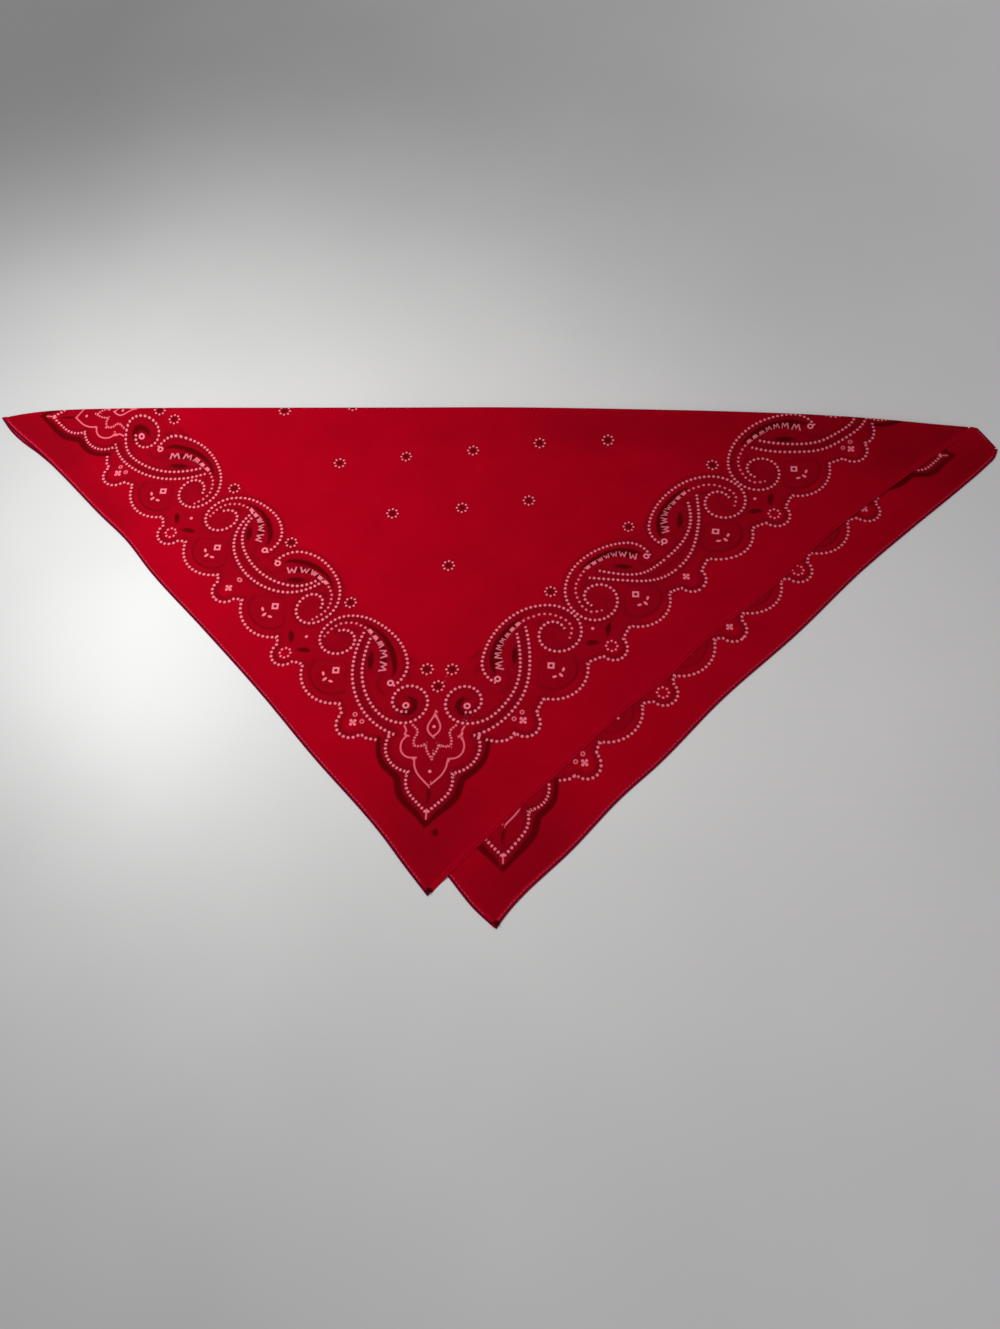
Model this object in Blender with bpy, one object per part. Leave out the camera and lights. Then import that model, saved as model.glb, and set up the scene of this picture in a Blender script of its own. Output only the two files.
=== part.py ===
"""A cotton bandana, folded once nearly corner to corner and lying flat.

Frame: X runs along the fold from the pointed end, Y from the loose corners to the fold, Z up. The origin
is under the middle of the outline. The underside lies on Z = 0. All sizes are in metres.

The cloth is a rectangle with the corners A, B, C and D. It is folded along A-E, where E is a point on the
side B-C close to C. The leaf A-B-E lies on the leaf A-D-C-E.
"""

import math

import bmesh
import bpy
import numpy as np

MM = 0.001

# ---- driving dimensions
CLOTH_WALL = 1.0 * MM
GAP = 0.3 * MM
HEM_WIDTH = 3.5 * MM
HEM_THICKNESS = 1.2 * MM
HEM_ROUNDING = 0.3 * MM
FOLD_TURN_DEPTH = 6.5 * MM
FOLD_RISE_REACH = 26.0 * MM
SHORTEST_COLUMN = 3.0 * MM
HEM_CORNER_EASE = 0.8 * MM
CLOSEST_COLUMNS = 1.5 * MM
CORNER_REACH = 20.0 * MM

# how much further in a hem's end is, for each metre of inset: the cotangent of the corner's angle
SLANT_AT_A = 0.58
SLANT_AT_E_FRONT = 0.95
SLANT_AT_E_BACK = -0.57

# the corners of the folded outline, seen from above
TIP_A = (-393.2 * MM, 194.2 * MM)
TIP_B = (-14.9 * MM, -188.6 * MM)
TIP_C = (393.2 * MM, 173.5 * MM)
TIP_D = (29.1 * MM, -207.9 * MM)
TIP_E = (381.4 * MM, 194.2 * MM)

# How far each edge bows to the left of the straight line from its first corner to its second.
# Columns: share of the line, bow in millimetres.
BOW_COLUMNS = ("share", "bow_mm")
BOW_A_B = (
    (0.00, 0.0),
    (0.035, 0.5),
    (0.10, 3.8),
    (0.16, 5.4),
    (0.26, 6.8),
    (0.32, 8.6),
    (0.39, 6.4),
    (0.52, 7.1),
    (0.66, 6.8),
    (0.76, 4.8),
    (0.91, 3.8),
    (0.955, 1.6),
    (1.00, 0.0),
)
BOW_B_E = (
    (0.00, 0.0),
    (0.03, 1.5),
    (0.10, 4.1),
    (0.20, 6.0),
    (0.34, 9.4),
    (0.40, 7.8),
    (0.46, 10.2),
    (0.59, 8.6),
    (0.72, 11.6),
    (0.83, 8.7),
    (0.93, 4.8),
    (0.975, 2.6),
    (1.00, 0.0),
)
BOW_A_D = (
    (0.00, 0.0),
    (0.03, -2.0),
    (0.055, -1.5),
    (0.09, 1.2),
    (0.12, 2.6),
    (0.20, 4.6),
    (0.30, 6.0),
    (0.45, 5.0),
    (0.60, 4.2),
    (0.92, 1.4),
    (0.97, -1.1),
    (1.00, 0.0),
)
BOW_D_C = (
    (0.00, 0.0),
    (0.012, 1.3),
    (0.14, 3.1),
    (0.22, 5.4),
    (0.29, 4.4),
    (0.41, 6.6),
    (0.56, 3.8),
    (0.70, 4.4),
    (0.81, 1.4),
    (0.90, -1.8),
    (0.965, -3.2),
    (0.985, -2.9),
    (1.00, 0.0),
)
BOW_E_C = (
    (0.00, 0.0),
    (1.00, 0.0),
)
BOW_A_E = (
    (0.00, 0.0),
    (0.02, 4.0),
    (0.04, 6.6),
    (0.07, 8.5),
    (0.12, 9.7),
    (0.30, 11.3),
    (0.42, 12.5),
    (0.52, 13.5),
    (0.66, 12.5),
    (0.82, 9.2),
    (0.90, 5.6),
    (0.96, 1.9),
    (1.00, 0.0),
)

# How high the fold stands above the table along A-E.
# Columns: share of the fold, height in millimetres.
LOFT_COLUMNS = ("share", "height_mm")
FOLD_LOFT = (
    (0.00, 2.9),
    (0.12, 3.3),
    (0.26, 4.2),
    (0.42, 3.6),
    (0.60, 3.4),
    (0.76, 4.4),
    (0.88, 6.0),
    (0.96, 5.4),
    (1.00, 3.6),
)

# The largest swells of the front leaf, each a soft ridge.
# Columns: middle x and y, half length, half width, turn from +X, height.
SWELL_COLUMNS = ("x_mm", "y_mm", "half_length_mm", "half_width_mm", "turn_deg", "height_mm")
SWELLS = (
    (-248.0, 172.0, 60.0, 20.0, -10.0, 1.6),
    (150.0, 168.0, 46.0, 18.0, -18.0, 2.0),
    (300.0, 150.0, 66.0, 20.0, 42.0, 1.8),
    (-120.0, 40.0, 120.0, 34.0, -46.0, 0.9),
    (80.0, 30.0, 140.0, 30.0, 44.0, 1.0),
    (-10.0, -90.0, 60.0, 26.0, 64.0, 0.8),
)

# ---- counts
FRONT_ROWS = 16
BACK_ROWS = 4
FOLD_RINGS = 48
FOLD_ARC_STEPS = 6
LONG_HEM_RINGS = 40
SHORT_HEM_RINGS = 4
EDGE_SAMPLES = 401
EDGE_STRIDE = 4
FINE_SAMPLES = 3200

# how strongly a long hem's rings gather at its ends, 0 for even spacing
RING_GATHER = 0.6

COLLECTION = "folded_bandana"

# ---- colours, linear
FACE_COLOUR = (0.34, 0.004, 0.013)
REVERSE_COLOUR = (0.27, 0.004, 0.012)
HEM_COLOUR = (0.19, 0.004, 0.016)
FACE_ROUGHNESS = 0.85
HEM_ROUGHNESS = 0.88
SMOOTH_BELOW_DEG = 40.0


def smooth_table(table, columns, shares):
    """Reads the second column of a two-column table at any shares, as a cubic through its rows."""
    rows = np.array(table)
    assert rows.shape[1] == len(columns)
    x, y = rows[:, 0], rows[:, 1]
    slope = np.gradient(y, x)
    i = np.clip(np.searchsorted(x, shares) - 1, 0, len(x) - 2)
    width = x[i + 1] - x[i]
    t = (shares - x[i]) / width
    start = (2 * t**3 - 3 * t**2 + 1) * y[i] + (t**3 - 2 * t**2 + t) * width * slope[i]
    end = (3 * t**2 - 2 * t**3) * y[i + 1] + (t**3 - t**2) * width * slope[i + 1]
    return start + end


def soft_step(x):
    """0 below 0, 1 above 1, and smooth between."""
    t = np.clip(x, 0.0, 1.0)
    return t * t * (3.0 - 2.0 * t)


def line_y(points, x):
    """The y of a line of points at some x, carried on straight past both ends."""
    if points[0, 0] > points[-1, 0]:
        points = points[::-1]
    first = (points[1] - points[0]) / (points[1, 0] - points[0, 0])
    last = (points[-1] - points[-2]) / (points[-1, 0] - points[-2, 0])
    y = np.interp(x, points[:, 0], points[:, 1])
    y = np.where(x < points[0, 0], points[0, 1] + first[1] * (x - points[0, 0]), y)
    return np.where(x > points[-1, 0], points[-1, 1] + last[1] * (x - points[-1, 0]), y)


class Edge:
    """One edge of the folded outline, sampled finely. inset is positive to the side given by inward."""

    def __init__(self, start, end, bows, inward):
        shares = np.linspace(0.0, 1.0, EDGE_SAMPLES)
        start, end = np.array(start), np.array(end)
        along = end - start
        left = np.array([-along[1], along[0]]) / np.linalg.norm(along)
        bow = smooth_table(bows, BOW_COLUMNS, shares) * MM
        self.shares = shares
        self.points = start + shares[:, None] * along + bow[:, None] * left
        step = np.gradient(self.points, axis=0)
        step /= np.linalg.norm(step, axis=1)[:, None]
        self.inward = np.stack([-step[:, 1], step[:, 0]], axis=1) * inward
        self.length = np.linalg.norm(np.diff(self.points, axis=0), axis=1).sum()

    def line(self, inset):
        """The edge moved inward."""
        return self.points + self.inward * inset

    def at(self, shares, inset):
        """Points of the moved edge at some shares of its length."""
        line = self.line(inset)
        return np.stack([np.interp(shares, self.shares, line[:, k]) for k in (0, 1)], axis=1)

    def y_at(self, x, inset):
        """The moved edge's y at some x, carried on straight past both ends."""
        return line_y(self.line(inset)[::EDGE_STRIDE], x)


EDGE_A_B = Edge(TIP_A, TIP_B, BOW_A_B, 1)
EDGE_B_E = Edge(TIP_B, TIP_E, BOW_B_E, 1)
EDGE_A_D = Edge(TIP_A, TIP_D, BOW_A_D, 1)
EDGE_D_C = Edge(TIP_D, TIP_C, BOW_D_C, 1)
EDGE_E_C = Edge(TIP_E, TIP_C, BOW_E_C, -1)
EDGE_A_E = Edge(TIP_A, TIP_E, BOW_A_E, -1)


def fold_height(x):
    """The fold's height above the table at some x."""
    share = (x - TIP_A[0]) / (TIP_E[0] - TIP_A[0])
    return smooth_table(FOLD_LOFT, LOFT_COLUMNS, np.clip(share, 0.0, 1.0)) * MM


def swell_height(x, y):
    """The sum of the soft ridges at a place of the front leaf."""
    total = np.zeros_like(x)
    for row in SWELLS:
        swell = dict(zip(SWELL_COLUMNS, row))
        turn = math.radians(swell["turn_deg"])
        dx = x - swell["x_mm"] * MM
        dy = y - swell["y_mm"] * MM
        along = (dx * math.cos(turn) + dy * math.sin(turn)) / (swell["half_length_mm"] * MM)
        across = (dy * math.cos(turn) - dx * math.sin(turn)) / (swell["half_width_mm"] * MM)
        total = total + swell["height_mm"] * MM * np.exp(-(along**2) - across**2)
    return total


def front_underside(x, y):
    """How high the front leaf's underside is. It clears the back leaf and its hem, then rises to the
    fold."""
    lift = HEM_THICKNESS + GAP
    depth = EDGE_A_E.y_at(x, 0.0) - y
    rise = fold_height(x) - CLOTH_WALL - lift
    from_turn = np.maximum(depth - FOLD_TURN_DEPTH, 0.0) / FOLD_RISE_REACH
    rounded = rise * np.exp(-(from_turn**2))
    calm = soft_step((depth - FOLD_TURN_DEPTH) / FOLD_RISE_REACH)
    return lift + swell_height(x, y) * calm + rounded


def hem_shares(hem, inset):
    """The shares of its edge at which a hem has rings, on the rail at some inset."""
    even = np.linspace(0.0, 1.0, hem["rings"])
    gathered = 0.5 - 0.5 * np.cos(math.pi * even)
    spread = even + RING_GATHER * (gathered - even)
    length = hem["edge"].length
    first = (hem["setbacks"][0] + hem["slants"][0] * inset) / length
    last = 1.0 - (hem["setbacks"][1] + hem["slants"][1] * inset) / length
    return first + (last - first) * spread


def hem_side(hem):
    """The line of points beside a hem's inner side, one for each of its rings, where the leaf starts."""
    return hem["edge"].at(hem_shares(hem, HEM_WIDTH), HEM_WIDTH + GAP)


def hem_section():
    """The turned hem across: inset from the edge and height, a flat strip with rounded long corners."""
    w, t, r = HEM_WIDTH, HEM_THICKNESS, HEM_ROUNDING
    return ((r, 0.0), (w - r, 0.0), (w, r), (w, t - r), (w - r, t), (r, t), (0.0, t - r), (0.0, r))


def fold_section(height):
    """The turned wall across: depth from the fold's outer line and height. It runs from the table side
    round to the top, then back along the inside."""
    outer_radius = height / 2.0
    inner_radius = outer_radius - CLOTH_WALL
    turns = np.linspace(-math.pi / 2.0, math.pi / 2.0, FOLD_ARC_STEPS + 1)
    outer = [(outer_radius * (1.0 - math.cos(a)), outer_radius * (1.0 + math.sin(a))) for a in turns]
    inner = [
        (outer_radius - inner_radius * math.cos(a), outer_radius + inner_radius * math.sin(a))
        for a in turns[::-1]
    ]
    table_leg = [(FOLD_TURN_DEPTH, 0.0)]
    top_leg = [(FOLD_TURN_DEPTH, height), (FOLD_TURN_DEPTH, height - CLOTH_WALL)]
    return np.array([*table_leg, *outer, *top_leg, *inner, (FOLD_TURN_DEPTH, CLOTH_WALL)])


def fold_limits(depth, on_top):
    """The first and last x of the fold at some depth, clear of the hems at its ends."""
    inset = HEM_WIDTH + GAP
    x = np.linspace(TIP_A[0], TIP_C[0], FINE_SAMPLES)
    line = EDGE_A_E.y_at(x, 0.0) - depth
    past_a = line >= np.maximum(EDGE_A_B.y_at(x, inset), EDGE_A_D.y_at(x, inset))
    if on_top:
        before_e = line >= EDGE_B_E.y_at(x, inset)
    else:
        before_e = line <= EDGE_E_C.y_at(x, inset)
    clear = x[past_a & before_e]
    return clear[0], clear[-1]


def leaf_columns(top, bottom, sides, corners, x_limits):
    """The x of a leaf's columns: one at each ring of the hems beside it and at each corner, as far as
    the leaf is deep enough."""
    x = np.linspace(*x_limits, FINE_SAMPLES)
    deep = x[top(x) - bottom(x) >= SHORTEST_COLUMN]
    wanted = [deep[0], *corners, deep[-1]]
    rings = np.concatenate([side[:, 0] for side in sides])
    rings = [ring for ring in rings if deep[0] < ring < deep[-1]]
    rings = [ring for ring in rings if min(abs(ring - x) for x in wanted) > CLOSEST_COLUMNS]
    return np.sort(np.array([*wanted, *rings]))


def crossing(first, second, middle):
    """The x near the given one where two lines y(x) cross."""
    x = np.linspace(middle - CORNER_REACH, middle + CORNER_REACH, FINE_SAMPLES)
    return x[np.argmin(np.abs(first(x) - second(x)))]


def leaf_mesh(name, x_columns, top, bottom, rows, underside):
    """A leaf of cloth: a grid shaped to the plan between two lines, its wall extruded straight up."""
    shape = bmesh.new()
    columns = len(x_columns) - 1
    bmesh.ops.create_grid(shape, x_segments=columns, y_segments=rows, size=1.0)
    y_top, y_bottom = top(x_columns), bottom(x_columns)
    for vert in shape.verts:
        column = round((vert.co.x + 1.0) / 2.0 * columns)
        share = (vert.co.y + 1.0) / 2.0
        x = x_columns[column]
        y = y_bottom[column] + (y_top[column] - y_bottom[column]) * share
        vert.co = (x, y, underside(np.array([x]), np.array([y]))[0])
    bmesh.ops.reverse_faces(shape, faces=shape.faces)
    grown = bmesh.ops.extrude_face_region(shape, geom=list(shape.faces), use_keep_orig=True)
    raised = [item for item in grown["geom"] if isinstance(item, bmesh.types.BMVert)]
    bmesh.ops.translate(shape, verts=raised, vec=(0.0, 0.0, CLOTH_WALL))
    bmesh.ops.recalc_face_normals(shape, faces=shape.faces)
    mesh = bpy.data.meshes.new(name)
    shape.to_mesh(mesh)
    shape.free()
    return mesh


def loft_mesh(name, rings):
    """A closed body through rings of points. Each ring goes out along one side of its section and back
    along the other, so its ends are capped by the quads between the two sides."""
    sides = len(rings[0])
    shape = bmesh.new()
    verts = [[shape.verts.new(point) for point in ring] for ring in rings]
    for this, following in zip(verts, verts[1:]):
        for k in range(sides):
            n = (k + 1) % sides
            shape.faces.new((this[k], this[n], following[n], following[k]))
    for cap in (verts[0], verts[-1]):
        for k in range(sides // 2 - 1):
            shape.faces.new((cap[k], cap[k + 1], cap[sides - 2 - k], cap[sides - 1 - k]))
    bmesh.ops.recalc_face_normals(shape, faces=shape.faces)
    mesh = bpy.data.meshes.new(name)
    shape.to_mesh(mesh)
    shape.free()
    return mesh


def hem_mesh(name, hem):
    """A hem strip that follows its edge."""
    rails = []
    for inset, height in hem_section():
        plan = hem["edge"].at(hem_shares(hem, inset), inset)
        floor = hem["underside"](plan[:, 0], plan[:, 1])
        rails.append(np.column_stack([plan, floor + height]))
    return loft_mesh(name, np.stack(rails, axis=1))


def fold_mesh(name):
    """The stretch of cloth that turns over along A-E, as sections of changing height."""
    nominal = np.linspace(TIP_A[0], TIP_E[0], FOLD_RINGS)
    nominal_sections = np.array([fold_section(height) for height in fold_height(nominal)])
    rails = []
    for k in range(nominal_sections.shape[1]):
        depths, heights = nominal_sections[:, k, 0], nominal_sections[:, k, 1]
        on_top = heights[-1] > nominal_sections[-1, :, 1].max() / 2.0
        first = fold_limits(depths[0], on_top)[0]
        last = fold_limits(depths[-1], on_top)[1]
        x = np.linspace(first, last, FOLD_RINGS)
        points = np.array([fold_section(height)[k] for height in fold_height(x)])
        rails.append(np.column_stack([x, EDGE_A_E.y_at(x, 0.0) - points[:, 0], points[:, 1]]))
    return loft_mesh(name, np.stack(rails, axis=1))


def on_table(x, y):
    """The underside of what lies on the table."""
    return np.zeros_like(x + y)


BUTT = HEM_WIDTH + GAP + HEM_CORNER_EASE
HEMS = {
    "front_hem_left": {
        "edge": EDGE_A_B,
        "setbacks": (0.0, 0.0),
        "slants": (SLANT_AT_A, 0.0),
        "rings": LONG_HEM_RINGS,
        "underside": front_underside,
    },
    "front_hem_lower": {
        "edge": EDGE_B_E,
        "setbacks": (BUTT, 0.0),
        "slants": (0.0, SLANT_AT_E_FRONT),
        "rings": LONG_HEM_RINGS,
        "underside": front_underside,
    },
    "back_hem_left": {
        "edge": EDGE_A_D,
        "setbacks": (0.0, BUTT),
        "slants": (SLANT_AT_A, 0.0),
        "rings": LONG_HEM_RINGS,
        "underside": on_table,
    },
    "back_hem_lower": {
        "edge": EDGE_D_C,
        "setbacks": (0.0, 0.0),
        "slants": (0.0, 0.0),
        "rings": LONG_HEM_RINGS,
        "underside": on_table,
    },
    "back_hem_end": {
        "edge": EDGE_E_C,
        "setbacks": (0.0, BUTT + HEM_CORNER_EASE),
        "slants": (SLANT_AT_E_BACK, 0.0),
        "rings": SHORT_HEM_RINGS,
        "underside": on_table,
    },
}
SIDES = {name: hem_side(hem) for name, hem in HEMS.items()}


def front_top(x):
    """The front leaf's side along the fold."""
    return EDGE_A_E.y_at(x, 0.0) - FOLD_TURN_DEPTH - GAP


def front_bottom(x):
    """The front leaf's side along its hems."""
    return np.maximum(line_y(SIDES["front_hem_left"], x), line_y(SIDES["front_hem_lower"], x))


def back_top(x):
    """The back leaf's side along the fold and the short hem at its end."""
    return np.minimum(front_top(x), line_y(SIDES["back_hem_end"], x))


def back_bottom(x):
    """The back leaf's side along its long hems."""
    return np.maximum(line_y(SIDES["back_hem_left"], x), line_y(SIDES["back_hem_lower"], x))


def front_leaf_mesh(name):
    """The leaf A-B-E."""
    left, lower = SIDES["front_hem_left"], SIDES["front_hem_lower"]
    at_b = crossing(lambda x: line_y(left, x), lambda x: line_y(lower, x), TIP_B[0])
    sides = (left[left[:, 0] < at_b], lower[lower[:, 0] > at_b])
    columns = leaf_columns(front_top, front_bottom, sides, [at_b], (TIP_A[0], TIP_E[0]))
    return leaf_mesh(name, columns, front_top, front_bottom, FRONT_ROWS, front_underside)


def back_leaf_mesh(name):
    """The leaf A-D-C-E."""
    left, lower, end = SIDES["back_hem_left"], SIDES["back_hem_lower"], SIDES["back_hem_end"]
    at_d = crossing(lambda x: line_y(left, x), lambda x: line_y(lower, x), TIP_D[0])
    at_e = crossing(front_top, lambda x: line_y(end, x), TIP_E[0])
    sides = (left[left[:, 0] < at_d], lower[lower[:, 0] > at_d])
    columns = leaf_columns(back_top, back_bottom, sides, [at_d, at_e], (TIP_A[0], TIP_C[0]))
    return leaf_mesh(name, columns, back_top, back_bottom, BACK_ROWS, on_table)


def cloth_material(name, colour, roughness):
    """A plain matt material for one stretch of the cloth."""
    material = bpy.data.materials.new(name)
    material.use_nodes = True
    shader = material.node_tree.nodes["Principled BSDF"]
    shader.inputs["Base Color"].default_value = (*colour, 1.0)
    shader.inputs["Roughness"].default_value = roughness
    shader.inputs["Metallic"].default_value = 0.0
    return material


def add_object(mesh, material, collection):
    """Puts a mesh in the collection under its own name, smooth on its broad faces."""
    mesh.materials.append(material)
    mesh.shade_smooth()
    mesh.set_sharp_from_angle(angle=math.radians(SMOOTH_BELOW_DEG))
    made = bpy.data.objects.new(mesh.name, mesh)
    collection.objects.link(made)
    return made


def build():
    """Makes each stretch of the cloth and each hem."""
    for old in list(bpy.data.objects):
        bpy.data.objects.remove(old, do_unlink=True)
    collection = bpy.data.collections.new(COLLECTION)
    bpy.context.scene.collection.children.link(collection)
    face = cloth_material("printed_cotton_face", FACE_COLOUR, FACE_ROUGHNESS)
    reverse = cloth_material("printed_cotton_reverse", REVERSE_COLOUR, FACE_ROUGHNESS)
    turned = cloth_material("turned_cotton_hem", HEM_COLOUR, HEM_ROUGHNESS)

    add_object(back_leaf_mesh("back_leaf"), reverse, collection)
    add_object(fold_mesh("fold_turn"), face, collection)
    add_object(front_leaf_mesh("front_leaf"), face, collection)
    for name, hem in HEMS.items():
        add_object(hem_mesh(name, hem), turned, collection)


build()
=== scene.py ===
# %% [markdown]
# # A folded cotton bandana
# A bandana is one rectangle of thin cotton with a narrow sewn hem and a printed paisley border. Here it
# is folded once, nearly corner to corner, and lies flat. The lesson builds the cloth, its hems and its
# stitches as surfaces worked out with numpy, and then prints the border with a material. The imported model
# is the fixed frame: every piece is made in its coordinates.

# %% The frame
import math

import bpy
import numpy as np
from mathutils import Matrix


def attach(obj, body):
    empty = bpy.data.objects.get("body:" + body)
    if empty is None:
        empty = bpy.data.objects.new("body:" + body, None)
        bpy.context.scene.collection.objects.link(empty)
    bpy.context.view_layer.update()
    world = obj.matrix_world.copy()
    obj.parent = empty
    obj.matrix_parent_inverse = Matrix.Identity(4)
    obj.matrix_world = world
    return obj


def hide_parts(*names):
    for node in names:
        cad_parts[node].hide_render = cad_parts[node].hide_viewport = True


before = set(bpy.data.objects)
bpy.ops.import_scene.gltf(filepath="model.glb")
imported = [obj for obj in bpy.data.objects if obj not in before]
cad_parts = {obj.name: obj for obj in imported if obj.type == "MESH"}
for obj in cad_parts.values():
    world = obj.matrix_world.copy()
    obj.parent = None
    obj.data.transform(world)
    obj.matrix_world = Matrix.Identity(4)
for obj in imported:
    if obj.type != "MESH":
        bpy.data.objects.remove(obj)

MM = 0.001
UPWARDS = np.array([0.0, 0.0, 1.0])
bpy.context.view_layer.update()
print("nodes:", sorted(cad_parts))

# %% [markdown]
# ## The folded outline
# Seen from above, the folded cloth has two loose corners, B on the front leaf and D on the back leaf, and
# the fold runs from A to E. A cut edge is never quite straight once it has been washed, so each edge is a
# straight line with a bow that is read from a short table. The sizes are those of the solids. The rows
# were picked from points read along the real edges, which another program had turned into millimetres.

# %% The corners and the bows of the edges, in millimetres
TIP_A = (-393.2, 194.2)
TIP_B = (-14.9, -188.6)
TIP_C = (393.2, 173.5)
TIP_D = (29.1, -207.9)
TIP_E = (381.4, 194.2)

# columns: share of the line, bow to the left of the way it runs
BOW_A_B = ((0, 0), (0.035, 0.5), (0.10, 3.8), (0.16, 5.4), (0.26, 6.8), (0.32, 8.6), (0.39, 6.4),
           (0.52, 7.1), (0.66, 6.8), (0.76, 4.8), (0.91, 3.8), (0.955, 1.6), (1, 0))
BOW_B_E = ((0, 0), (0.03, 1.5), (0.10, 4.1), (0.20, 6.0), (0.34, 9.4), (0.40, 7.8), (0.46, 10.2),
           (0.59, 8.6), (0.72, 11.6), (0.83, 8.7), (0.93, 4.8), (0.975, 2.6), (1, 0))
BOW_A_D = ((0, 0), (0.03, -2.0), (0.055, -1.5), (0.09, 1.2), (0.12, 2.6), (0.20, 4.6), (0.30, 6.0),
           (0.45, 5.0), (0.60, 4.2), (0.92, 1.4), (0.97, -1.1), (1, 0))
BOW_D_C = ((0, 0), (0.012, 1.3), (0.14, 3.1), (0.22, 5.4), (0.29, 4.4), (0.41, 6.6), (0.56, 3.8),
           (0.70, 4.4), (0.81, 1.4), (0.90, -1.8), (0.965, -3.2), (0.985, -2.9), (1, 0))
BOW_E_C = ((0, 0), (1, 0))
BOW_A_E = ((0, 0), (0.02, 4.0), (0.04, 6.6), (0.07, 8.5), (0.12, 9.7), (0.30, 11.3), (0.42, 12.5),
           (0.52, 13.5), (0.66, 12.5), (0.82, 9.2), (0.90, 5.6), (0.96, 1.9), (1, 0))


def smooth_table(table, at):
    """Reads a two-column table as a cubic through its rows, each with the slope between its neighbours."""
    rows = np.array(table, float)
    x, y = rows[:, 0], rows[:, 1]
    slope = np.gradient(y, x)
    i = np.clip(np.searchsorted(x, at) - 1, 0, len(x) - 2)
    width = x[i + 1] - x[i]
    t = (at - x[i]) / width
    start = (2 * t**3 - 3 * t**2 + 1) * y[i] + (t**3 - 2 * t**2 + t) * width * slope[i]
    return start + (3 * t**2 - 2 * t**3) * y[i + 1] + (t**3 - t**2) * width * slope[i + 1]


def line_y(points, x):
    """The y of a line of points at some x, carried on straight past both ends."""
    if points[0, 0] > points[-1, 0]:
        points = points[::-1]
    first = (points[1] - points[0]) / (points[1, 0] - points[0, 0])
    last = (points[-1] - points[-2]) / (points[-1, 0] - points[-2, 0])
    y = np.interp(x, points[:, 0], points[:, 1])
    y = np.where(x < points[0, 0], points[0, 1] + first[1] * (x - points[0, 0]), y)
    return np.where(x > points[-1, 0], points[-1, 1] + last[1] * (x - points[-1, 0]), y)


def unit(vectors):
    """Vectors divided by their lengths."""
    return vectors / np.linalg.norm(vectors, axis=-1, keepdims=True)


def across_left(vectors):
    """Plane vectors turned by a right angle to their left."""
    return np.stack([-vectors[..., 1], vectors[..., 0]], axis=-1)


def running_length(points):
    """How far along a line each of its points is: the running sum of the steps between them."""
    return np.concatenate([[0.0], np.cumsum(np.linalg.norm(np.diff(points, axis=0), axis=1))])


class Edge:
    """One edge of the outline: a straight line plus its bow. An inset moves it towards the cloth."""

    def __init__(self, start, end, bows, inward):
        self.shares = np.linspace(0.0, 1.0, 401)
        start, end = np.array(start), np.array(end)
        bow = smooth_table(bows, self.shares)[:, None] * across_left(unit(end - start))
        self.points = start + self.shares[:, None] * (end - start) + bow
        self.inward = across_left(unit(np.gradient(self.points, axis=0))) * inward
        self.length = running_length(self.points)[-1]

    def at(self, shares, inset):
        """Points of the moved edge at some shares of its length."""
        line = self.points + self.inward * inset
        return np.stack([np.interp(shares, self.shares, line[:, k]) for k in (0, 1)], axis=-1)

    def y_at(self, x, inset=0.0):
        """The moved edge's y at some x."""
        return line_y((self.points + self.inward * inset)[::4], x)


EDGES = {
    "A_B": Edge(TIP_A, TIP_B, BOW_A_B, 1),
    "B_E": Edge(TIP_B, TIP_E, BOW_B_E, 1),
    "A_D": Edge(TIP_A, TIP_D, BOW_A_D, 1),
    "D_C": Edge(TIP_D, TIP_C, BOW_D_C, 1),
    "E_C": Edge(TIP_E, TIP_C, BOW_E_C, -1),
    "A_E": Edge(TIP_A, TIP_E, BOW_A_E, -1),
}
print("edges in mm:", {name: round(edge.length, 1) for name, edge in EDGES.items()})

# %% [markdown]
# ## How the cloth lies
# The back leaf is flat on the table. The front leaf lies on it, sags to the table where it reaches past
# it, and rises to the rounded fold. On a real bandana a few broad swells and many faint creases are left
# from how it was packed. They are soft ridges and troughs here, each with its own place, length and
# direction.

# %% Heights of the front leaf and the fold
HEM_WIDTH = 3.5
CLOTH = 0.3
BACK_TOP = 0.4
FRONT_TOP = 0.75
FOLD_DEPTH = 6.5
FOLD_REACH = 21.0
SAG_DEPTH = 0.42
SAG_REACH = 8.0
HEM_RIDGE = 0.5
RIDGE_REACH = 5.0
LOFT = 0.7
CALM_REACH = 60.0
SEWN_REACH = 16.0
CREASE_REACH = 9.0
SAG_FLATTENS = 0.8
A_D_LEAN = 0.72

# columns: share of the fold, height
FOLD_LOFT = ((0, 1.5), (0.05, 2.8), (0.12, 4.2), (0.26, 5.6), (0.42, 5.8), (0.60, 6.4), (0.76, 6.8),
             (0.88, 6.4), (0.95, 4.0), (1, 1.5))

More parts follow.
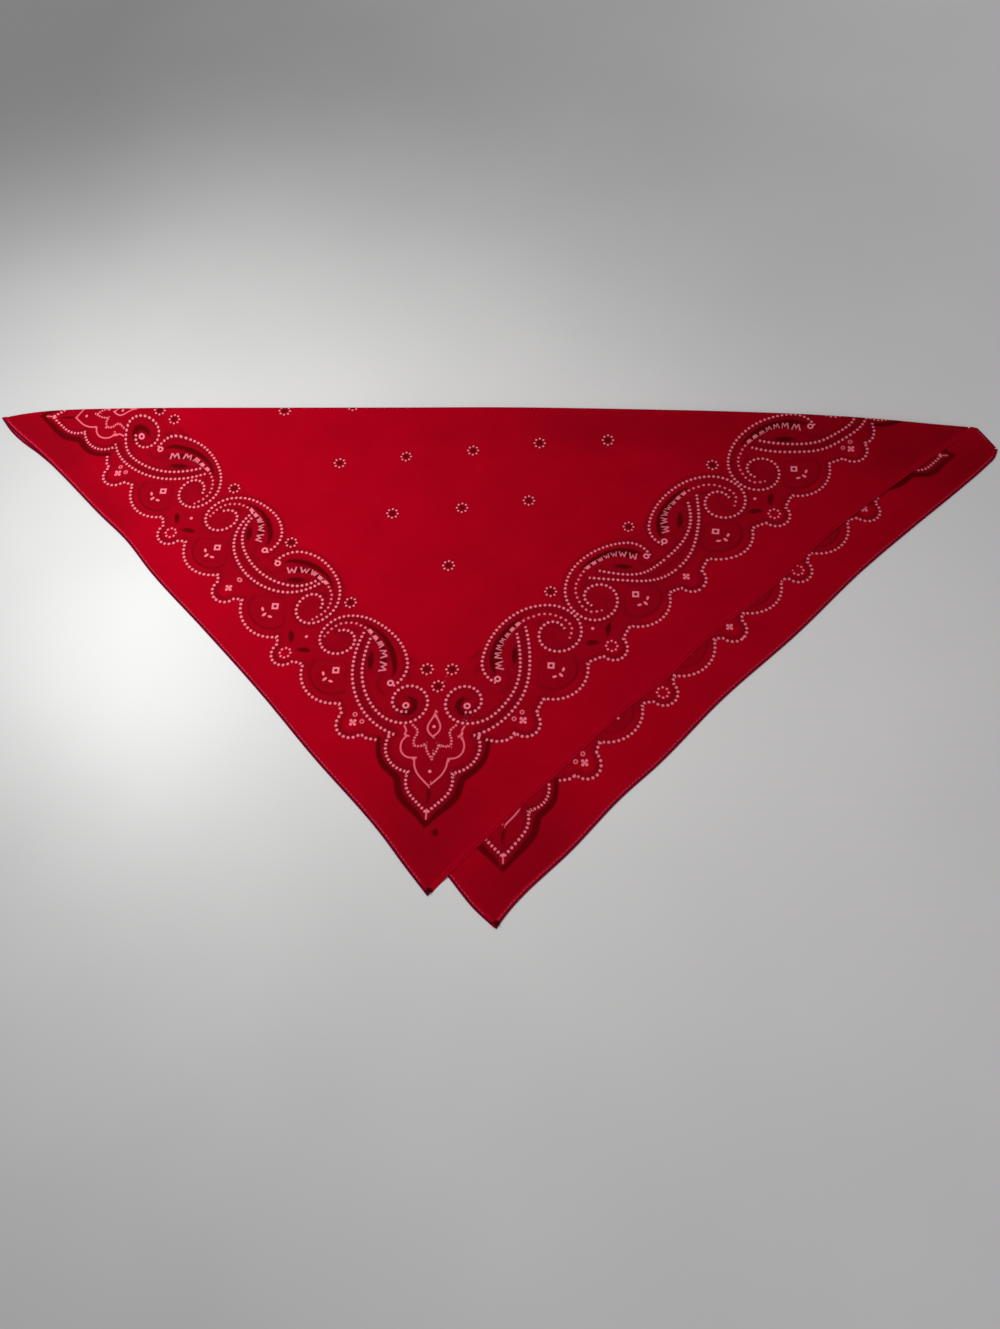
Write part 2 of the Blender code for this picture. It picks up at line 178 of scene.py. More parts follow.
# columns: middle x and y, half length, half width, turn in degrees, height (below zero for a trough)
SWELLS = (
    (-248, 172, 60, 20, -10, 1.6),
    (150, 168, 46, 18, -18, 2.0),
    (300, 150, 66, 20, 42, 1.8),
    (-120, 40, 120, 34, -46, 0.9),
    (80, 30, 140, 30, 44, 1.0),
    (-10, -90, 60, 26, 64, 0.8),
)
CREASES = (
    (-262, 150, 34, 6, 22, 0.45),
    (-214, 176, 26, 5, -24, -0.5),
    (-150, 120, 70, 9, -38, 0.35),
    (-60, 168, 55, 8, 8, -0.4),
    (-58, 150, 34, 4, 3, -0.45),
    (-20, 96, 90, 11, -50, 0.35),
    (34, 150, 30, 6, 30, 0.4),
    (118, 176, 22, 5, -30, -0.6),
    (172, 182, 18, 6, 12, -0.7),
    (196, 128, 60, 9, 38, 0.4),
    (246, 158, 34, 7, 48, -0.6),
    (286, 184, 22, 5, 18, 0.5),
    (318, 168, 40, 6, 36, -0.7),
    (124, 166, 80, 9, -3, -0.9),
    (60, 40, 80, 10, 52, -0.35),
    (-90, -40, 60, 8, -44, -0.3),
    (-30, -130, 30, 7, -60, 0.3),
    (20, -60, 50, 9, 40, 0.3),
    (140, 60, 60, 8, 46, 0.3),
)


def soft_step(x):
    """0 below 0, 1 above 1, and the cubic 3x^2 - 2x^3 between."""
    t = np.clip(x, 0.0, 1.0)
    return t * t * (3.0 - 2.0 * t)


def ridges(table, x, y):
    """The sum of soft ridges: each falls off as exp(-(along^2 + across^2)) from its middle."""
    total = np.zeros_like(x)
    for mid_x, mid_y, half_length, half_width, turn, height in table:
        c, s = math.cos(math.radians(turn)), math.sin(math.radians(turn))
        along = ((x - mid_x) * c + (y - mid_y) * s) / half_length
        across = ((y - mid_y) * c - (x - mid_x) * s) / half_width
        total = total + height * np.exp(-(along**2) - across**2)
    return total


def fold_height(x):
    """The fold's height above the table at some x."""
    share = np.clip((x - TIP_A[0]) / (TIP_E[0] - TIP_A[0]), 0.0, 1.0)
    return smooth_table(FOLD_LOFT, share)


def inside_front(x, y):
    """How far a place is above the front leaf's two sewn edges."""
    return y - np.maximum(EDGES["A_B"].y_at(x), EDGES["B_E"].y_at(x))


def fold_depth(x, y):
    """How far a place is below the rounded turn of the fold, never under zero."""
    return np.maximum(EDGES["A_E"].y_at(x) - y - FOLD_DEPTH, 0.0)


def hem_calm(x, y):
    """0 along the two sewn edges of the front leaf and 1 a few centimetres inside them."""
    return soft_step(inside_front(x, y) / CALM_REACH)


def past_back(x, y):
    """How far a place is past the back leaf's side A-D, square to it, and below zero over the back leaf."""
    return (EDGES["A_D"].y_at(x) - y) * A_D_LEAN


def front_base(x, y):
    """The front leaf's lowest upper side: its level, with a low ridge over the back leaf's hem, less the
    sag where nothing is under it."""
    past = past_back(x, y)
    off_hem = np.abs(past + HEM_WIDTH / 2.0) - HEM_WIDTH / 2.0
    ridge = HEM_RIDGE * (1.0 - soft_step(off_hem / RIDGE_REACH))
    return FRONT_TOP - SAG_DEPTH * soft_step(past / SAG_REACH) + ridge


def fold_rise(x, y):
    """The rounded rise to the fold. It ends at the sewn edges, which lie flat."""
    rise = (fold_height(x) - FRONT_TOP) * np.exp(-((fold_depth(x, y) / FOLD_REACH) ** 2))
    return rise * soft_step(inside_front(x, y) / SEWN_REACH)


def front_height(x, y):
    """The front leaf's upper side: its lowest level, plus swells, creases and the rise to the fold."""
    depth = fold_depth(x, y)
    calm = soft_step(depth / FOLD_REACH)
    swells = ridges(SWELLS, x, y) * calm + ridges(CREASES, x, y) * soft_step(depth / CREASE_REACH)
    held = 1.0 - SAG_FLATTENS * soft_step(past_back(x, y) / SAG_REACH)
    lift = (LOFT * calm * hem_calm(x, y) + swells) * held
    return front_base(x, y) + np.maximum(lift + fold_rise(x, y), 0.0)


sample = front_height(np.array([-200.0, 0.0, 300.0]), np.array([100.0, 0.0, 150.0]))
print("front leaf's height at three places, mm:", sample.round(2))

# %% [markdown]
# ## Unfolding
# The print was made while the cloth was flat, so every point of a leaf needs its place on the flat cloth,
# u along the side A-B and v along B-C. A fold is a mirror: a point's distance to the crease stays, and
# its side changes. The crease starts at corner A and meets the side B-C before corner C. A true fold meets
# it at one place. Here each leaf has its own, 36 mm apart, because that is what a fit of camera and print
# to the photo gave. Whether the cotton gave that much or the fit is off isn't known.

# %% The flat cloth and the crease
CLOTH_U = 533.0
CLOTH_V = 586.7
CREASE_START = np.array([-395.54, 197.16])
CREASE_TURN = math.radians(-0.36)
CREASE_END_FRONT = np.array([CLOTH_U, 528.2])
CREASE_END_BACK = np.array([CLOTH_U, 563.9])

# How far the print of each leaf is off its even place. These rows came out of a least-squares fit of the
# render to the photo, made in another program, so they are no example to follow. Columns: u, v, and the
# shift in u and in v.
DRIFT_REACH = 26.0
DRIFTS = {
    "front": ((108, 100, -7.7, -1.7), (84, 78, -12.0, -0.8), (103, 72, 4.0, -1.9), (138, 98, 1.9, -0.2),
              (190, 96, 0.8, -0.8), (50, 56, -7.6, -3.2), (88, 56, 4.0, -0.9), (125, 56, 1.4, -0.3),
              (160, 56, 2.3, -0.6), (215, 56, 0.8, -0.6), (270, 56, 0.8, 0.2), (320, 56, 2.5, 0.3),
              (370, 56, -0.4, 0.0), (425, 56, 0.2, -0.3), (480, 56, -0.5, -0.4), (475, 120, -0.1, 0.2),
              (475, 180, 0.9, -0.5), (475, 240, 0.4, -1.4), (475, 300, -0.9, -5.8),
              (475, 350, 3.3, -4.2), (475, 400, 3.8, -3.8), (475, 450, 4.0, -1.5), (245, 190, 2.8, 0.0),
              (325, 190, 3.6, -1.1), (345, 285, -1.0, 0.3), (28, 26, -0.7, -2.3), (47, 44, 8.4, -2.6),
              (62, 33, 4.6, -0.6), (493, 486, 5.9, -1.4), (507, 455, 2.7, -3.1), (150, 150, -2.3, -1.0),
              (195, 192, 0.3, 0.0), (272, 226, 0.7, -0.2), (371, 268, 1.2, -1.9), (371, 350, 2.0, -1.9)),
    "back": ((30, 550, 3.0, 2.7), (65, 550, 6.3, 0.4), (100, 550, 1.6, -0.8), (150, 550, 2.0, -3.0),
             (210, 550, -0.4, -1.9), (270, 550, -0.6, -1.8), (330, 550, -1.7, -0.9), (390, 550, -1.9, 0.4),
             (440, 550, -2.7, 1.1), (490, 550, -6.2, 5.7)),
}


def drift(cloth, leaf):
    """How far the print is pulled off: a mean of the table's shifts, in which a row at a distance d has the
    weight (1 + (d / r)^2)^-3."""
    rows = np.array(DRIFTS[leaf])
    gap = (cloth[:, None, 0] - rows[:, 0]) ** 2 + (cloth[:, None, 1] - rows[:, 1]) ** 2
    weight = (1.0 + gap / DRIFT_REACH**2) ** -3.0
    return weight @ rows[:, 2:] / weight.sum(axis=1)[:, None]


def unfold(x, y, front):
    """Place on the flat cloth: measure along and off the crease in the plan, then lay both out from the
    crease's line on the cloth, to one side for the front leaf and to the other for the back leaf."""
    c, s = math.cos(CREASE_TURN), math.sin(CREASE_TURN)
    dx, dy = x - CREASE_START[0], y - CREASE_START[1]
    along, off = dx * c + dy * s, dy * c - dx * s
    end = CREASE_END_FRONT if front else CREASE_END_BACK
    run = end / np.linalg.norm(end)
    side = 1.0 if front else -1.0
    even = np.stack([along * run[0] - side * off * run[1], along * run[1] + side * off * run[0]], axis=-1)
    return even - drift(even, "front" if front else "back")


corner_b = unfold(np.array([TIP_B[0]]), np.array([TIP_B[1]]), True)
corner_d = unfold(np.array([TIP_D[0]]), np.array([TIP_D[1]]), False)
print("corner B unfolds to", corner_b.round(1), "and corner D to", corner_d.round(1))

# %% [markdown]
# ## The border's lines
# A paisley border repeats: curled drops stand back to back, double lines swing under them, and a
# scalloped line closes the outside. A curve can be kept as a chain of arcs: a start, a heading, and rows
# of a length and a turn. One half of one side is enough, and mirrored and turned it makes the rest. The
# rows here were fitted in another program, through points read along the real border's lines, and the
# short curves go through such points, so this border is a copy of one that exists. A border of one's own
# would start from a few widths and heights instead. Distances are along the side from the corner, and in
# from the edge.

# %% A chain of arcs
LINE_STEP = 0.5


def arcs(start, heading, rows):
    """Points along a chain of arcs. In each row the heading turns evenly over the length, and the points
    are the running sum of small steps along it."""
    turns, lengths = [], []
    angle = math.radians(heading)
    for length, turn in rows:
        count = max(2, math.ceil(length / LINE_STEP))
        share = (np.arange(count) + 0.5) / count
        turns.append(angle + math.radians(turn) * share)
        lengths.append(np.full(count, length / count))
        angle += math.radians(turn)
    turns, lengths = np.concatenate(turns), np.concatenate(lengths)
    steps = np.stack([np.cos(turns), np.sin(turns)], axis=1) * lengths[:, None]
    return np.concatenate([[start], np.array(start) + np.cumsum(steps, axis=0)])


def shift_left(points, distance):
    """The curve moved to its left by a distance."""
    return points + across_left(unit(np.gradient(points, axis=0))) * distance


def smooth_line(*points):
    """A smooth curve through a few points: x and y are cubics of the running chord length."""
    points = np.array(points, float)
    run = running_length(points)
    even = np.linspace(0.0, run[-1], max(3, math.ceil(run[-1] / LINE_STEP)))
    return np.stack([smooth_table(np.column_stack([run, points[:, k]]), even) for k in (0, 1)], axis=1)


def fine_line(points):
    """A line through a few points, as evenly spaced points."""
    run = running_length(points)
    even = np.linspace(0.0, run[-1], max(3, math.ceil(run[-1] / LINE_STEP)))
    return np.stack([np.interp(even, run, points[:, k]) for k in (0, 1)], axis=1)


def round_part(middle, radius, start, end, count=40):
    """Part of a circle between two angles in degrees."""
    turn = np.radians(np.linspace(start, end, count))
    return np.stack([middle[0] + radius * np.cos(turn), middle[1] + radius * np.sin(turn)], axis=1)


# the curled drop, its inner line and the comb in it: rows of arcs with length and turn. The long sides have
# a larger drop with two more teeth in its comb.
DROPS = {
    "short": {
        "line": arcs((119.8, 78.0), 96, ((20.5, -63), (20.5, -30), (23, -21), (20, -32), (20, -55),
                                         (20.5, -81), (21, -91), (22, -140))),
        "inner": smooth_line((167.6, 91.2), (172.1, 89.9), (175.3, 88.9), (178.5, 87.3), (181.2, 84.4),
                             (184.0, 81.6), (185.5, 77.8), (186.1, 72.5), (185.0, 66.8)),
        "comb": smooth_line((133.0, 76.2), (136.3, 80.0), (144.1, 87.2), (151.6, 90.3), (158.0, 90.9),
                            (164.4, 91.4), (167.6, 91.5)),
        "black": smooth_line((125.8, 79.5), (128.5, 84.3), (132.5, 87.6), (137.5, 90.6), (143.0, 93.2),
                             (149.5, 95.0), (156.5, 95.8), (164.0, 95.2), (172.0, 92.4)),
        "head": smooth_line((132.0, 77.0), (129.8, 70.8), (124.6, 66.8), (118.8, 67.4)),
        "lens": smooth_line((140.2, 71.8), (145.0, 76.0), (151.4, 82.2)),
        "body": smooth_line((140, 92), (155, 95.4), (168, 94), (180, 88.5), (187, 78), (188, 68)),
        "curl": round_part((178.5, 70.0), 7.5, 60, 270),
        "blob": np.array([[171.8, 85.2], [173.8, 84.0]]),
        "ring": np.array([122.9, 75.9]),
    },
    "long": {
        "line": arcs((128.0, 74.5), 105, ((20, -66), (23, -22), (22.5, -24), (24.5, -36), (22.5, -50),
                                          (18.5, -57), (26.5, -93), (26, -121), (14.5, -98))),
        "inner": smooth_line((175.0, 97.4), (181.4, 96.1), (186.0, 94.0), (189.6, 92.6), (192.1, 90.2),
                             (194.4, 87.6), (196.1, 84.7), (197.3, 81.9), (198.3, 78.8), (199.2, 74.9),
                             (198.7, 71.7), (197.7, 69.2), (195.8, 67.2), (192.5, 65.2)),
        "comb": smooth_line((136.8, 77.6), (139.6, 80.9), (144.6, 88.0), (149.6, 92.2), (155.0, 94.7),
                            (160.6, 95.9), (166.3, 97.2), (172.1, 97.6), (174.9, 97.7)),
        "black": arcs((131.5, 76.0), 66, ((20, -30), (20, -25), (16, -20))),
        "head": smooth_line((139.8, 74.6), (137.6, 68.2), (132.2, 64.4), (126.4, 64.9)),
        "lens": smooth_line((147.4, 74.6), (152.6, 79.6), (158.2, 86.0)),
        "body": smooth_line((150, 96), (163, 100.4), (177, 100.4), (190, 96.4), (200, 86), (202, 74)),
        "curl": round_part((190.5, 70.0), 8.0, 60, 270),
        "blob": np.array([[183.2, 88.6], [185.4, 87.2]]),
        "ring": np.array([131.4, 73.9]),
    },
}

# the curl beside the corner, which runs on as the inner of two lines under the drop, and the outer line
CURL = arcs((99.5, 68.5), -47, ((14, 95), (22, 107), (20, 86), (21.5, 77), (18.5, 41), (20, 24), (20, 23),
            (20, 14)))
CURL_OUTER = arcs((93.0, 52.0), -23, ((29, 34), (29.5, 30), (30.5, 23)))
CURL_RING = np.array([102.3, 72.6])
CURL_BLACK = round_part(CURL_RING, 6.2, 45, 305)

# the two lines under the middle of the side, from the middle outwards
SWINGS = {
    "short": (arcs((0.0, 55.4), 0, ((20, 22), (20.5, 32), (20.5, 31))),
              arcs((0.0, 63.5), 0, ((17, 18), (16, 23), (15.5, 35)))),
    "long": (arcs((0.0, 50.8), 0, ((22, 28), (15, 18), (32, 4))),
             arcs((0.0, 62.5), 0, ((16, 10), (22, 38), (17, 10)))),
}
print({kind: len(shapes["line"]) for kind, shapes in DROPS.items()}, "points in the drops")

# %% [markdown]
# ## The ornament in the corner and the scalloped edge
# Each corner has a stepped arch like an ogee, with a thin line and a small star in it. Along the sides
# runs a line of small round lobes and wide shallow bowls, which are plain parts of circles. Parts of
# circles join without a kink only where their ends meet, so the bowl's radius is worked out from its
# width and its sag.

# %% The corner ornament and the scalloped line
LOBES = {"short": (117.5, 194.8, 266.5), "long": (123.0, 208.3, 292.5)}
SPANS = {"short": ((122.9, 192.2), (258.4, 196.8)), "long": ((131.4, 206.2), (283.5, 208.7))}
LOBE_RADIUS = 10.2
LOBE_LEVEL = 36.3
CUSP_LEVEL = 40.2
BOWL_LEVEL = 29.0
BOWL_HALF = 20.8

OGEE = np.concatenate([
    arcs((92.7, 50.4), -107, ((16, -53), (20, -56))),
    arcs((63.0, 42.4), -115, ((19.3, -64.6), (16, -1))),
])
OGEE = OGEE[OGEE[:, 0] > OGEE[:, 1]]
OGEE_BLACK = smooth_line((96.0, 43.8), (90.5, 38.4), (84.5, 34.9), (78.0, 33.4), (71.0, 33.7), (65.0, 34.0),
                         (60.0, 31.0), (54.5, 27.9), (46.0, 26.9), (36.0, 27.2), (26.5, 26.2))
OGEE_THIN = np.concatenate([
    smooth_line((90.0, 61.7), (87.2, 60.6), (85.6, 57.6), (83.9, 58.6)),
    smooth_line((83.9, 58.6), (83.6, 54.4), (80.4, 50.0), (75.7, 47.9), (71.2, 48.8), (67.8, 51.9)),
    smooth_line((67.8, 51.9), (63.2, 48.1), (57.5, 45.9), (52.0, 45.6), (45.8, 45.7)),
])
STAR = np.concatenate([
    smooth_line((86.2, 66.6), (83.0, 66.6), (80.2, 65.0)),
    smooth_line((80.2, 65.0), (78.6, 60.6), (75.0, 57.2)),
    smooth_line((75.0, 57.2), (71.6, 60.0), (70.3, 63.9)),
    smooth_line((70.3, 63.9), (65.4, 61.0), (59.8, 59.8)),
])


# how the scalloped line starts, before its first lobe
SCALLOP_LEADS = {"short": ((-19.5, 40.2), (-15.5, 37.2)),
                 "long": ((-26.6, 43.4), (-23.6, 39.4), (-18.6, 35.6), (-13.6, 34.6))}


def scallops(kind):
    """The scalloped line of half a side: small round lobes and wide shallow bowls, after a short lead."""
    lobes = LOBES[kind]
    parts = [np.array(SCALLOP_LEADS[kind]) + (lobes[0], 0.0)]
    for index, lobe in enumerate(lobes):
        last = index == len(lobes) - 1
        parts.append(round_part((lobe, LOBE_LEVEL), LOBE_RADIUS, 180, 270 if last else 360))
        if last:
            break
        middle = (lobe + lobes[index + 1]) / 2.0
        sag = CUSP_LEVEL - BOWL_LEVEL
        radius = (BOWL_HALF**2 + sag**2) / (2.0 * sag)
        reach = math.degrees(math.asin(BOWL_HALF / radius))
        parts.append(np.array([[middle - BOWL_HALF, CUSP_LEVEL]]))
        parts.append(round_part((middle, BOWL_LEVEL + radius), radius, 270 - reach, 270 + reach))
    return fine_line(np.concatenate(parts))


print("scallops of", len(scallops("short")), "points")

# %% [markdown]
# ## Setting the lines out on the cloth
# The four sides share one drawing, but two are longer, so the drops there are a little wider. Every line
# goes to a layer. Beads need to know how far along their line they are, so lines that pass close to each
# other are kept in different layers.

# %% All lines of the cloth
SIDES = (("A_B", "short"), ("D_C", "short"), ("A_D", "long"), ("B_C", "long"))
SWAG_HELD = 116.0
SWAG_SCALE = {"short": 1.0, "long": 1.15}

# columns: group, how far the long sides have it further in, where that starts and where it is complete
LIFTS = {"scallops": (1.6, 122.0, 150.0), "motifs": (3.1, 112.0, 145.0), "swag": (5.0, 130.0, 165.0)}
SECOND_LIFT = {"short": 2.0, "long": 0.0}


def along_side(points, kind, group):
    """Fits a line to the length of its side. The second drop is the first one turned round."""
    along, inset = points[:, 0], points[:, 1]
    if kind == "long" and group in LIFTS:
        lift, start, end = LIFTS[group]
        inset = inset + lift * soft_step((along - start) / (end - start))
    if group == "second drop":
        first, second = SPANS[kind]
        along = second[0] + (along - first[0]) * (second[1] - second[0]) / (first[1] - first[0])
        inset = inset + SECOND_LIFT[kind]
    elif group == "swag":
        along = np.where(along > SWAG_HELD, SWAG_HELD + (along - SWAG_HELD) * SWAG_SCALE[kind], along)
    elif group == "swing":
        along = LOBES[kind][2] - along
    return np.stack([along, inset], axis=1)


def place(points, side, far_half):
    """Turns distances along and in from a side into u and v on the cloth."""
    along, inset = points[:, 0], points[:, 1]
    length = CLOTH_U if side in ("A_B", "D_C") else CLOTH_V
    along = length - along if far_half else along
    u, v = {"A_B": (along, inset), "D_C": (along, CLOTH_V - inset),
            "A_D": (inset, along), "B_C": (CLOTH_U - inset, along)}[side]
    return np.stack([u, v], axis=1)


def swelling(points, widest, peak=0.5, least=0.0):
    """A half width along a stroke: least at both ends and widest at the peak's share."""
    share = np.linspace(0.0, 1.0, len(points))
    bent = np.where(share < peak, share / peak, (1.0 - share) / (1.0 - peak))
    return least + (widest - least) * np.sin(np.clip(bent, 0, 1) * math.pi / 2.0)


# how far apart the beads of each layer are, and of the corner ornament's line
PITCHES = {"beads_a": 3.45, "beads_b": 3.45, "beads_c": 3.45, "beads_d": 3.45, "small_beads": 3.9,
           "dots": 2.25, "thin": 3.45, "comb": 3.45}
ORNAMENT_PITCH = 2.9

# columns: part of a drop, width of its veil, strength
DROP_VEILS = (("head", 1.7, 0.8), ("blob", 2.2, 0.9), ("curl", 2.2, 0.5), ("body", 3.2, 0.5),
              ("comb", 9.0, 0.28), ("curl", 9.0, 0.24), ("lens", 4.0, 0.5))
SHOULDER_MARKS = (((128.5, 98.6), (126.0, 97.4), (123.0, 98.4)),
                  ((121.5, 91.5), (119.5, 89.8), (117.6, 87.6)))
LOBE_MOTIFS = {"short": ("clover", "lobe rosette", "clover below"),
               "long": ("clover", "lobe rosette", "plain clover")}
LOBE_MOTIF_LEVELS = (38.0, 36.4, 38.8)
BOWL_ROOF = smooth_line((-16.5, 49.5), (-8.0, 57.0), (0.0, 62.5), (8.0, 57.0), (16.5, 49.5))
BOWL_FLOOR = fine_line(np.array([[-9.0, 49.0], [9.0, 49.0]]))

lines = {layer: [] for layer in PITCHES}
darks, print_veils_and_painted_shade, motifs = [], [], []

for side, kind in SIDES:
    lobes = LOBES[kind]
    near_corner = side in ("A_B", "D_C")
    for far_half in (False, True):
        turned = far_half != (side in ("D_C", "A_D"))

        def put(points, group="fixed"):
            return place(along_side(np.atleast_2d(points), kind, group), side, far_half)

        def draw(layer, points, group="fixed", shade=0, pitch=None):
            """Adds a line. shade is 1 or -1 where the cloth to its left or right is printed darker."""
            way = -shade if turned else shade
            lines[layer].append((put(points, group), way, kind, pitch or PITCHES[layer]))

        def dark(points, group, widest, peak=0.5, least=0.0):
            darks.append((put(points, group), swelling(points, widest, peak, least)))

        def veil(points, group, width, strength):
            print_veils_and_painted_shade.append((put(points, group), width, strength))

        def motif(name, at, group="motifs"):
            motifs.append((put(np.array(at), group), name, side, far_half))

        draw("beads_a", scallops(kind), "scallops", 1)
        draw("beads_b" if near_corner else "beads_c", CURL, "swag", 1)
        draw("beads_d", CURL_OUTER, "swag", 1)
        draw("beads_d", OGEE, "fixed", -1, ORNAMENT_PITCH)
        draw("thin", OGEE_THIN)
        draw("dots", STAR)
        dark(OGEE_BLACK, "fixed", 2.4, 0.6, 1.2)
        veil(shift_left(OGEE, 2.4), "fixed", 2.6, 0.85)
        veil(shift_left(OGEE, -3.0), "fixed", 2.4, 0.4)
        outer, inner = SWINGS[kind]
        draw("beads_a", outer, "swing", 1)
        draw("beads_d", inner, "swing", -1)
        same_place = np.linspace(0, len(inner) - 1, len(outer)).round().astype(int)
        veil((inner[same_place] + outer) * 0.5, "swing", 3.0, 0.7)
        for group in ("drop", "second drop"):
            shapes = DROPS[kind]
            layer = "beads_a" if group == "drop" else "beads_c" if far_half else "beads_b"
            draw(layer, shapes["line"], group, -1)
            draw("small_beads", shapes["inner"], group)
            draw("comb", shapes["comb"], group, 1)
            dark(shapes["black"], group, {"short": 2.0, "long": 2.4}[kind], 0.28, 0.6)
            dark(shapes["comb"], group, 2.2, 0.2, 0.3)
            dark(shapes["lens"], group, 2.1, 0.5, 0.2)
            for part, width, strength in DROP_VEILS:
                veil(shapes[part], group, width, strength)
            motif("ring", shapes["ring"], group)
        dark(CURL_BLACK, "fixed", 2.0, 0.3, 0.2)
        veil(CURL_BLACK, "fixed", 3.6, 0.7)
        motif("ring", CURL_RING, "fixed")
        veil(shift_left(CURL_OUTER, 3.6), "swag", 2.6, 0.7)
        for way in (-1, 1):
            leaf = smooth_line((way * 13.4, 50.6), (way * 7.6, 47.2), (way * 2.9, 43.2))
            dark(leaf + (lobes[1], 0.0), "motifs", 2.0, 0.42)
        shoulder = 0.0 if kind == "short" else 7.0
        for mark in SHOULDER_MARKS:
            veil(smooth_line(*mark) + (shoulder, 0.0), "fixed", 1.7, 0.75)
        if near_corner:
            dark(smooth_line((45.4, 44.8), (41.2, 42.2), (37.0, 37.0)), "fixed", 1.1, 0.5, 0.5)
            dark(np.array([[28.4, 28.4], [27.2, 27.2], [26.0, 26.0]]), "fixed", 1.5, 0.5, 1.0)
            draw("thin", smooth_line((33.3, 33.3), (32.0, 32.0), (30.5, 30.5)))
            veil(smooth_line((75.0, 75.0), (60.0, 60.0), (50.0, 50.0)), "fixed", 9.0, 0.3)
        for index, lobe in enumerate(lobes):
            veil(round_part((lobe, LOBE_LEVEL), 7.4, 190, 350), "scallops", 2.2, 0.6)
            if index == 2 and far_half:
                continue
            motif(LOBE_MOTIFS[kind][index], (lobe, LOBE_MOTIF_LEVELS[index]))
        for first, second in zip(lobes, lobes[1:]):
            middle = (first + second) / 2.0 + 0.6
            motif("diamond", (middle, 50.0))
            bowl = round_part((0.0, 0.0), 1.0, 185, 355) * (16.5, 14.0) + (middle, 49.5)
            veil(bowl, "motifs", 1.1, 1.3)
            veil(round_part((middle, 44.0), 5.0, 200, 340), "motifs", 4.0, 0.4)
            veil(BOWL_ROOF + (middle, 0.0), "motifs", 0.9, 0.7)
            veil(BOWL_FLOOR + (middle, 0.0), "motifs", 8.5, 0.25)
        motif("dot", (lobes[1], 55.4))
        outside = 0.0 if kind == "short" else 2.4
        motif("rosette", (lobes[1], 96.0 + outside))
        if not far_half:
            motif("rosette", (lobes[2], 96.6 + outside))
        motif("rosette", (113.7, 101.4), "fixed")
print({name: len(items) for name, items in lines.items()}, len(darks), "dark strokes")

# %% [markdown]
# ## The corner drops and the plain middle
# The middle of the cloth has only small rosettes, on a lattice of two crossed grids. A lattice is a loop
# over two whole numbers, of which the even sums are kept. The drop in each corner is a straight line with
# a half width that swells along it. A few wide veils are painted shade: they darken the tips and the fold
# towards its end.

# %% Corner teardrops, corner dots and the rosettes of the plain middle
FIELD_MIDDLE = (263.05, 294.6)
FIELD_HALF_STEP = (32.55, 41.6)


def teardrop(tip, base, half_width, count=60):
    """A closed drop round a straight middle line: its half width is w times sin(pi t^1.5) with t from the
    point to the round end."""
    tip, base = np.array(tip), np.array(base)
    t = np.linspace(0.0, 1.0, count)
    across = across_left(unit(base - tip))
    half = half_width * np.sin(math.pi * t**1.5)
    line = tip + t[:, None] * (base - tip)
    return np.concatenate([line + half[:, None] * across, (line - half[:, None] * across)[::-1]])


for side, far_half in (("A_B", False), ("A_B", True), ("D_C", False), ("D_C", True)):
    drop_line = place(teardrop((84.0, 84.0), (70.8, 70.8), 4.4), side, far_half)
    lines["thin"].append((drop_line, 0, "short", PITCHES["thin"]))
    for at, name in (((76.2, 76.2), "dot"), ((53.0, 53.0), "dot"), ((98.1, 98.1), "rosette")):
        motifs.append((place(np.array([at]), side, far_half), name, side, far_half))
for i in range(-3, 4):
    for j in range(-3, 4):
        if (i + j) % 2 == 0:
            at = np.array([FIELD_MIDDLE]) + np.multiply((i, j), FIELD_HALF_STEP)
            motifs.append((at, "rosette", "A_B", False))

# a small dark blot near corner B
darks.append((np.array([[514.2, 28.2], [514.6, 28.0]]), np.full(2, 2.2)))

# painted shade at the tips and along the fold towards its end, which lie in deeper shade than the lights
# give them
print_veils_and_painted_shade += [
    (smooth_line((0.0, 0.0), (34.0, 12.0), (74.0, 14.0)), 28.0, 0.66),
    (smooth_line((74.0, 10.0), (110.0, 8.0), (150.0, 6.0)), 24.0, 0.5),
    (smooth_line((533.0, 0.0), (515.0, 16.0), (498.0, 36.0)), 34.0, 0.46),
    (fine_line(np.array([[330.0, 327.0], [533.0, 528.2]])), 26.0, 0.26),
    (smooth_line((533.0, 528.0), (522.0, 508.0), (518.0, 488.0)), 30.0, 0.46),
    (smooth_line((0.0, 587.0), (18.0, 574.0), (52.0, 570.0)), 32.0, 0.56),
    (smooth_line((533.0, 587.0), (510.0, 576.0), (488.0, 572.0)), 24.0, 0.5),
]
print(len(motifs), "small motifs")

# %% [markdown]
# ## From lines to numbers on the cloth
# A material can't look for the nearest line, so that is worked out here for every point of the cloth and
# kept as attributes: how far it is across the line, how many beads along it, and how far away in all.
# Beads, teeth and thin lines are then simple formulas in the material, and stay sharp between the points.

# %% The print's numbers at points of the cloth
FAR = 9.0
REACH = 6.5
MARGIN = 3.0

# how much darker the border's ground is, and between which distances from the side
WASH = 0.38
WASH_START = 34.0
WASH_END = 90.0
KINDS = {"ring": 1, "rosette": 2, "lobe rosette": 3, "clover": 4, "clover below": 5, "diamond": 6, "dot": 7,
         "plain clover": 8}
MOTIF_REACH = {"ring": 3.2, "rosette": 6.3, "lobe rosette": 6.4, "clover": 8.2, "clover below": 12.0,
               "diamond": 11.8, "dot": 2.0, "plain clover": 4.0}

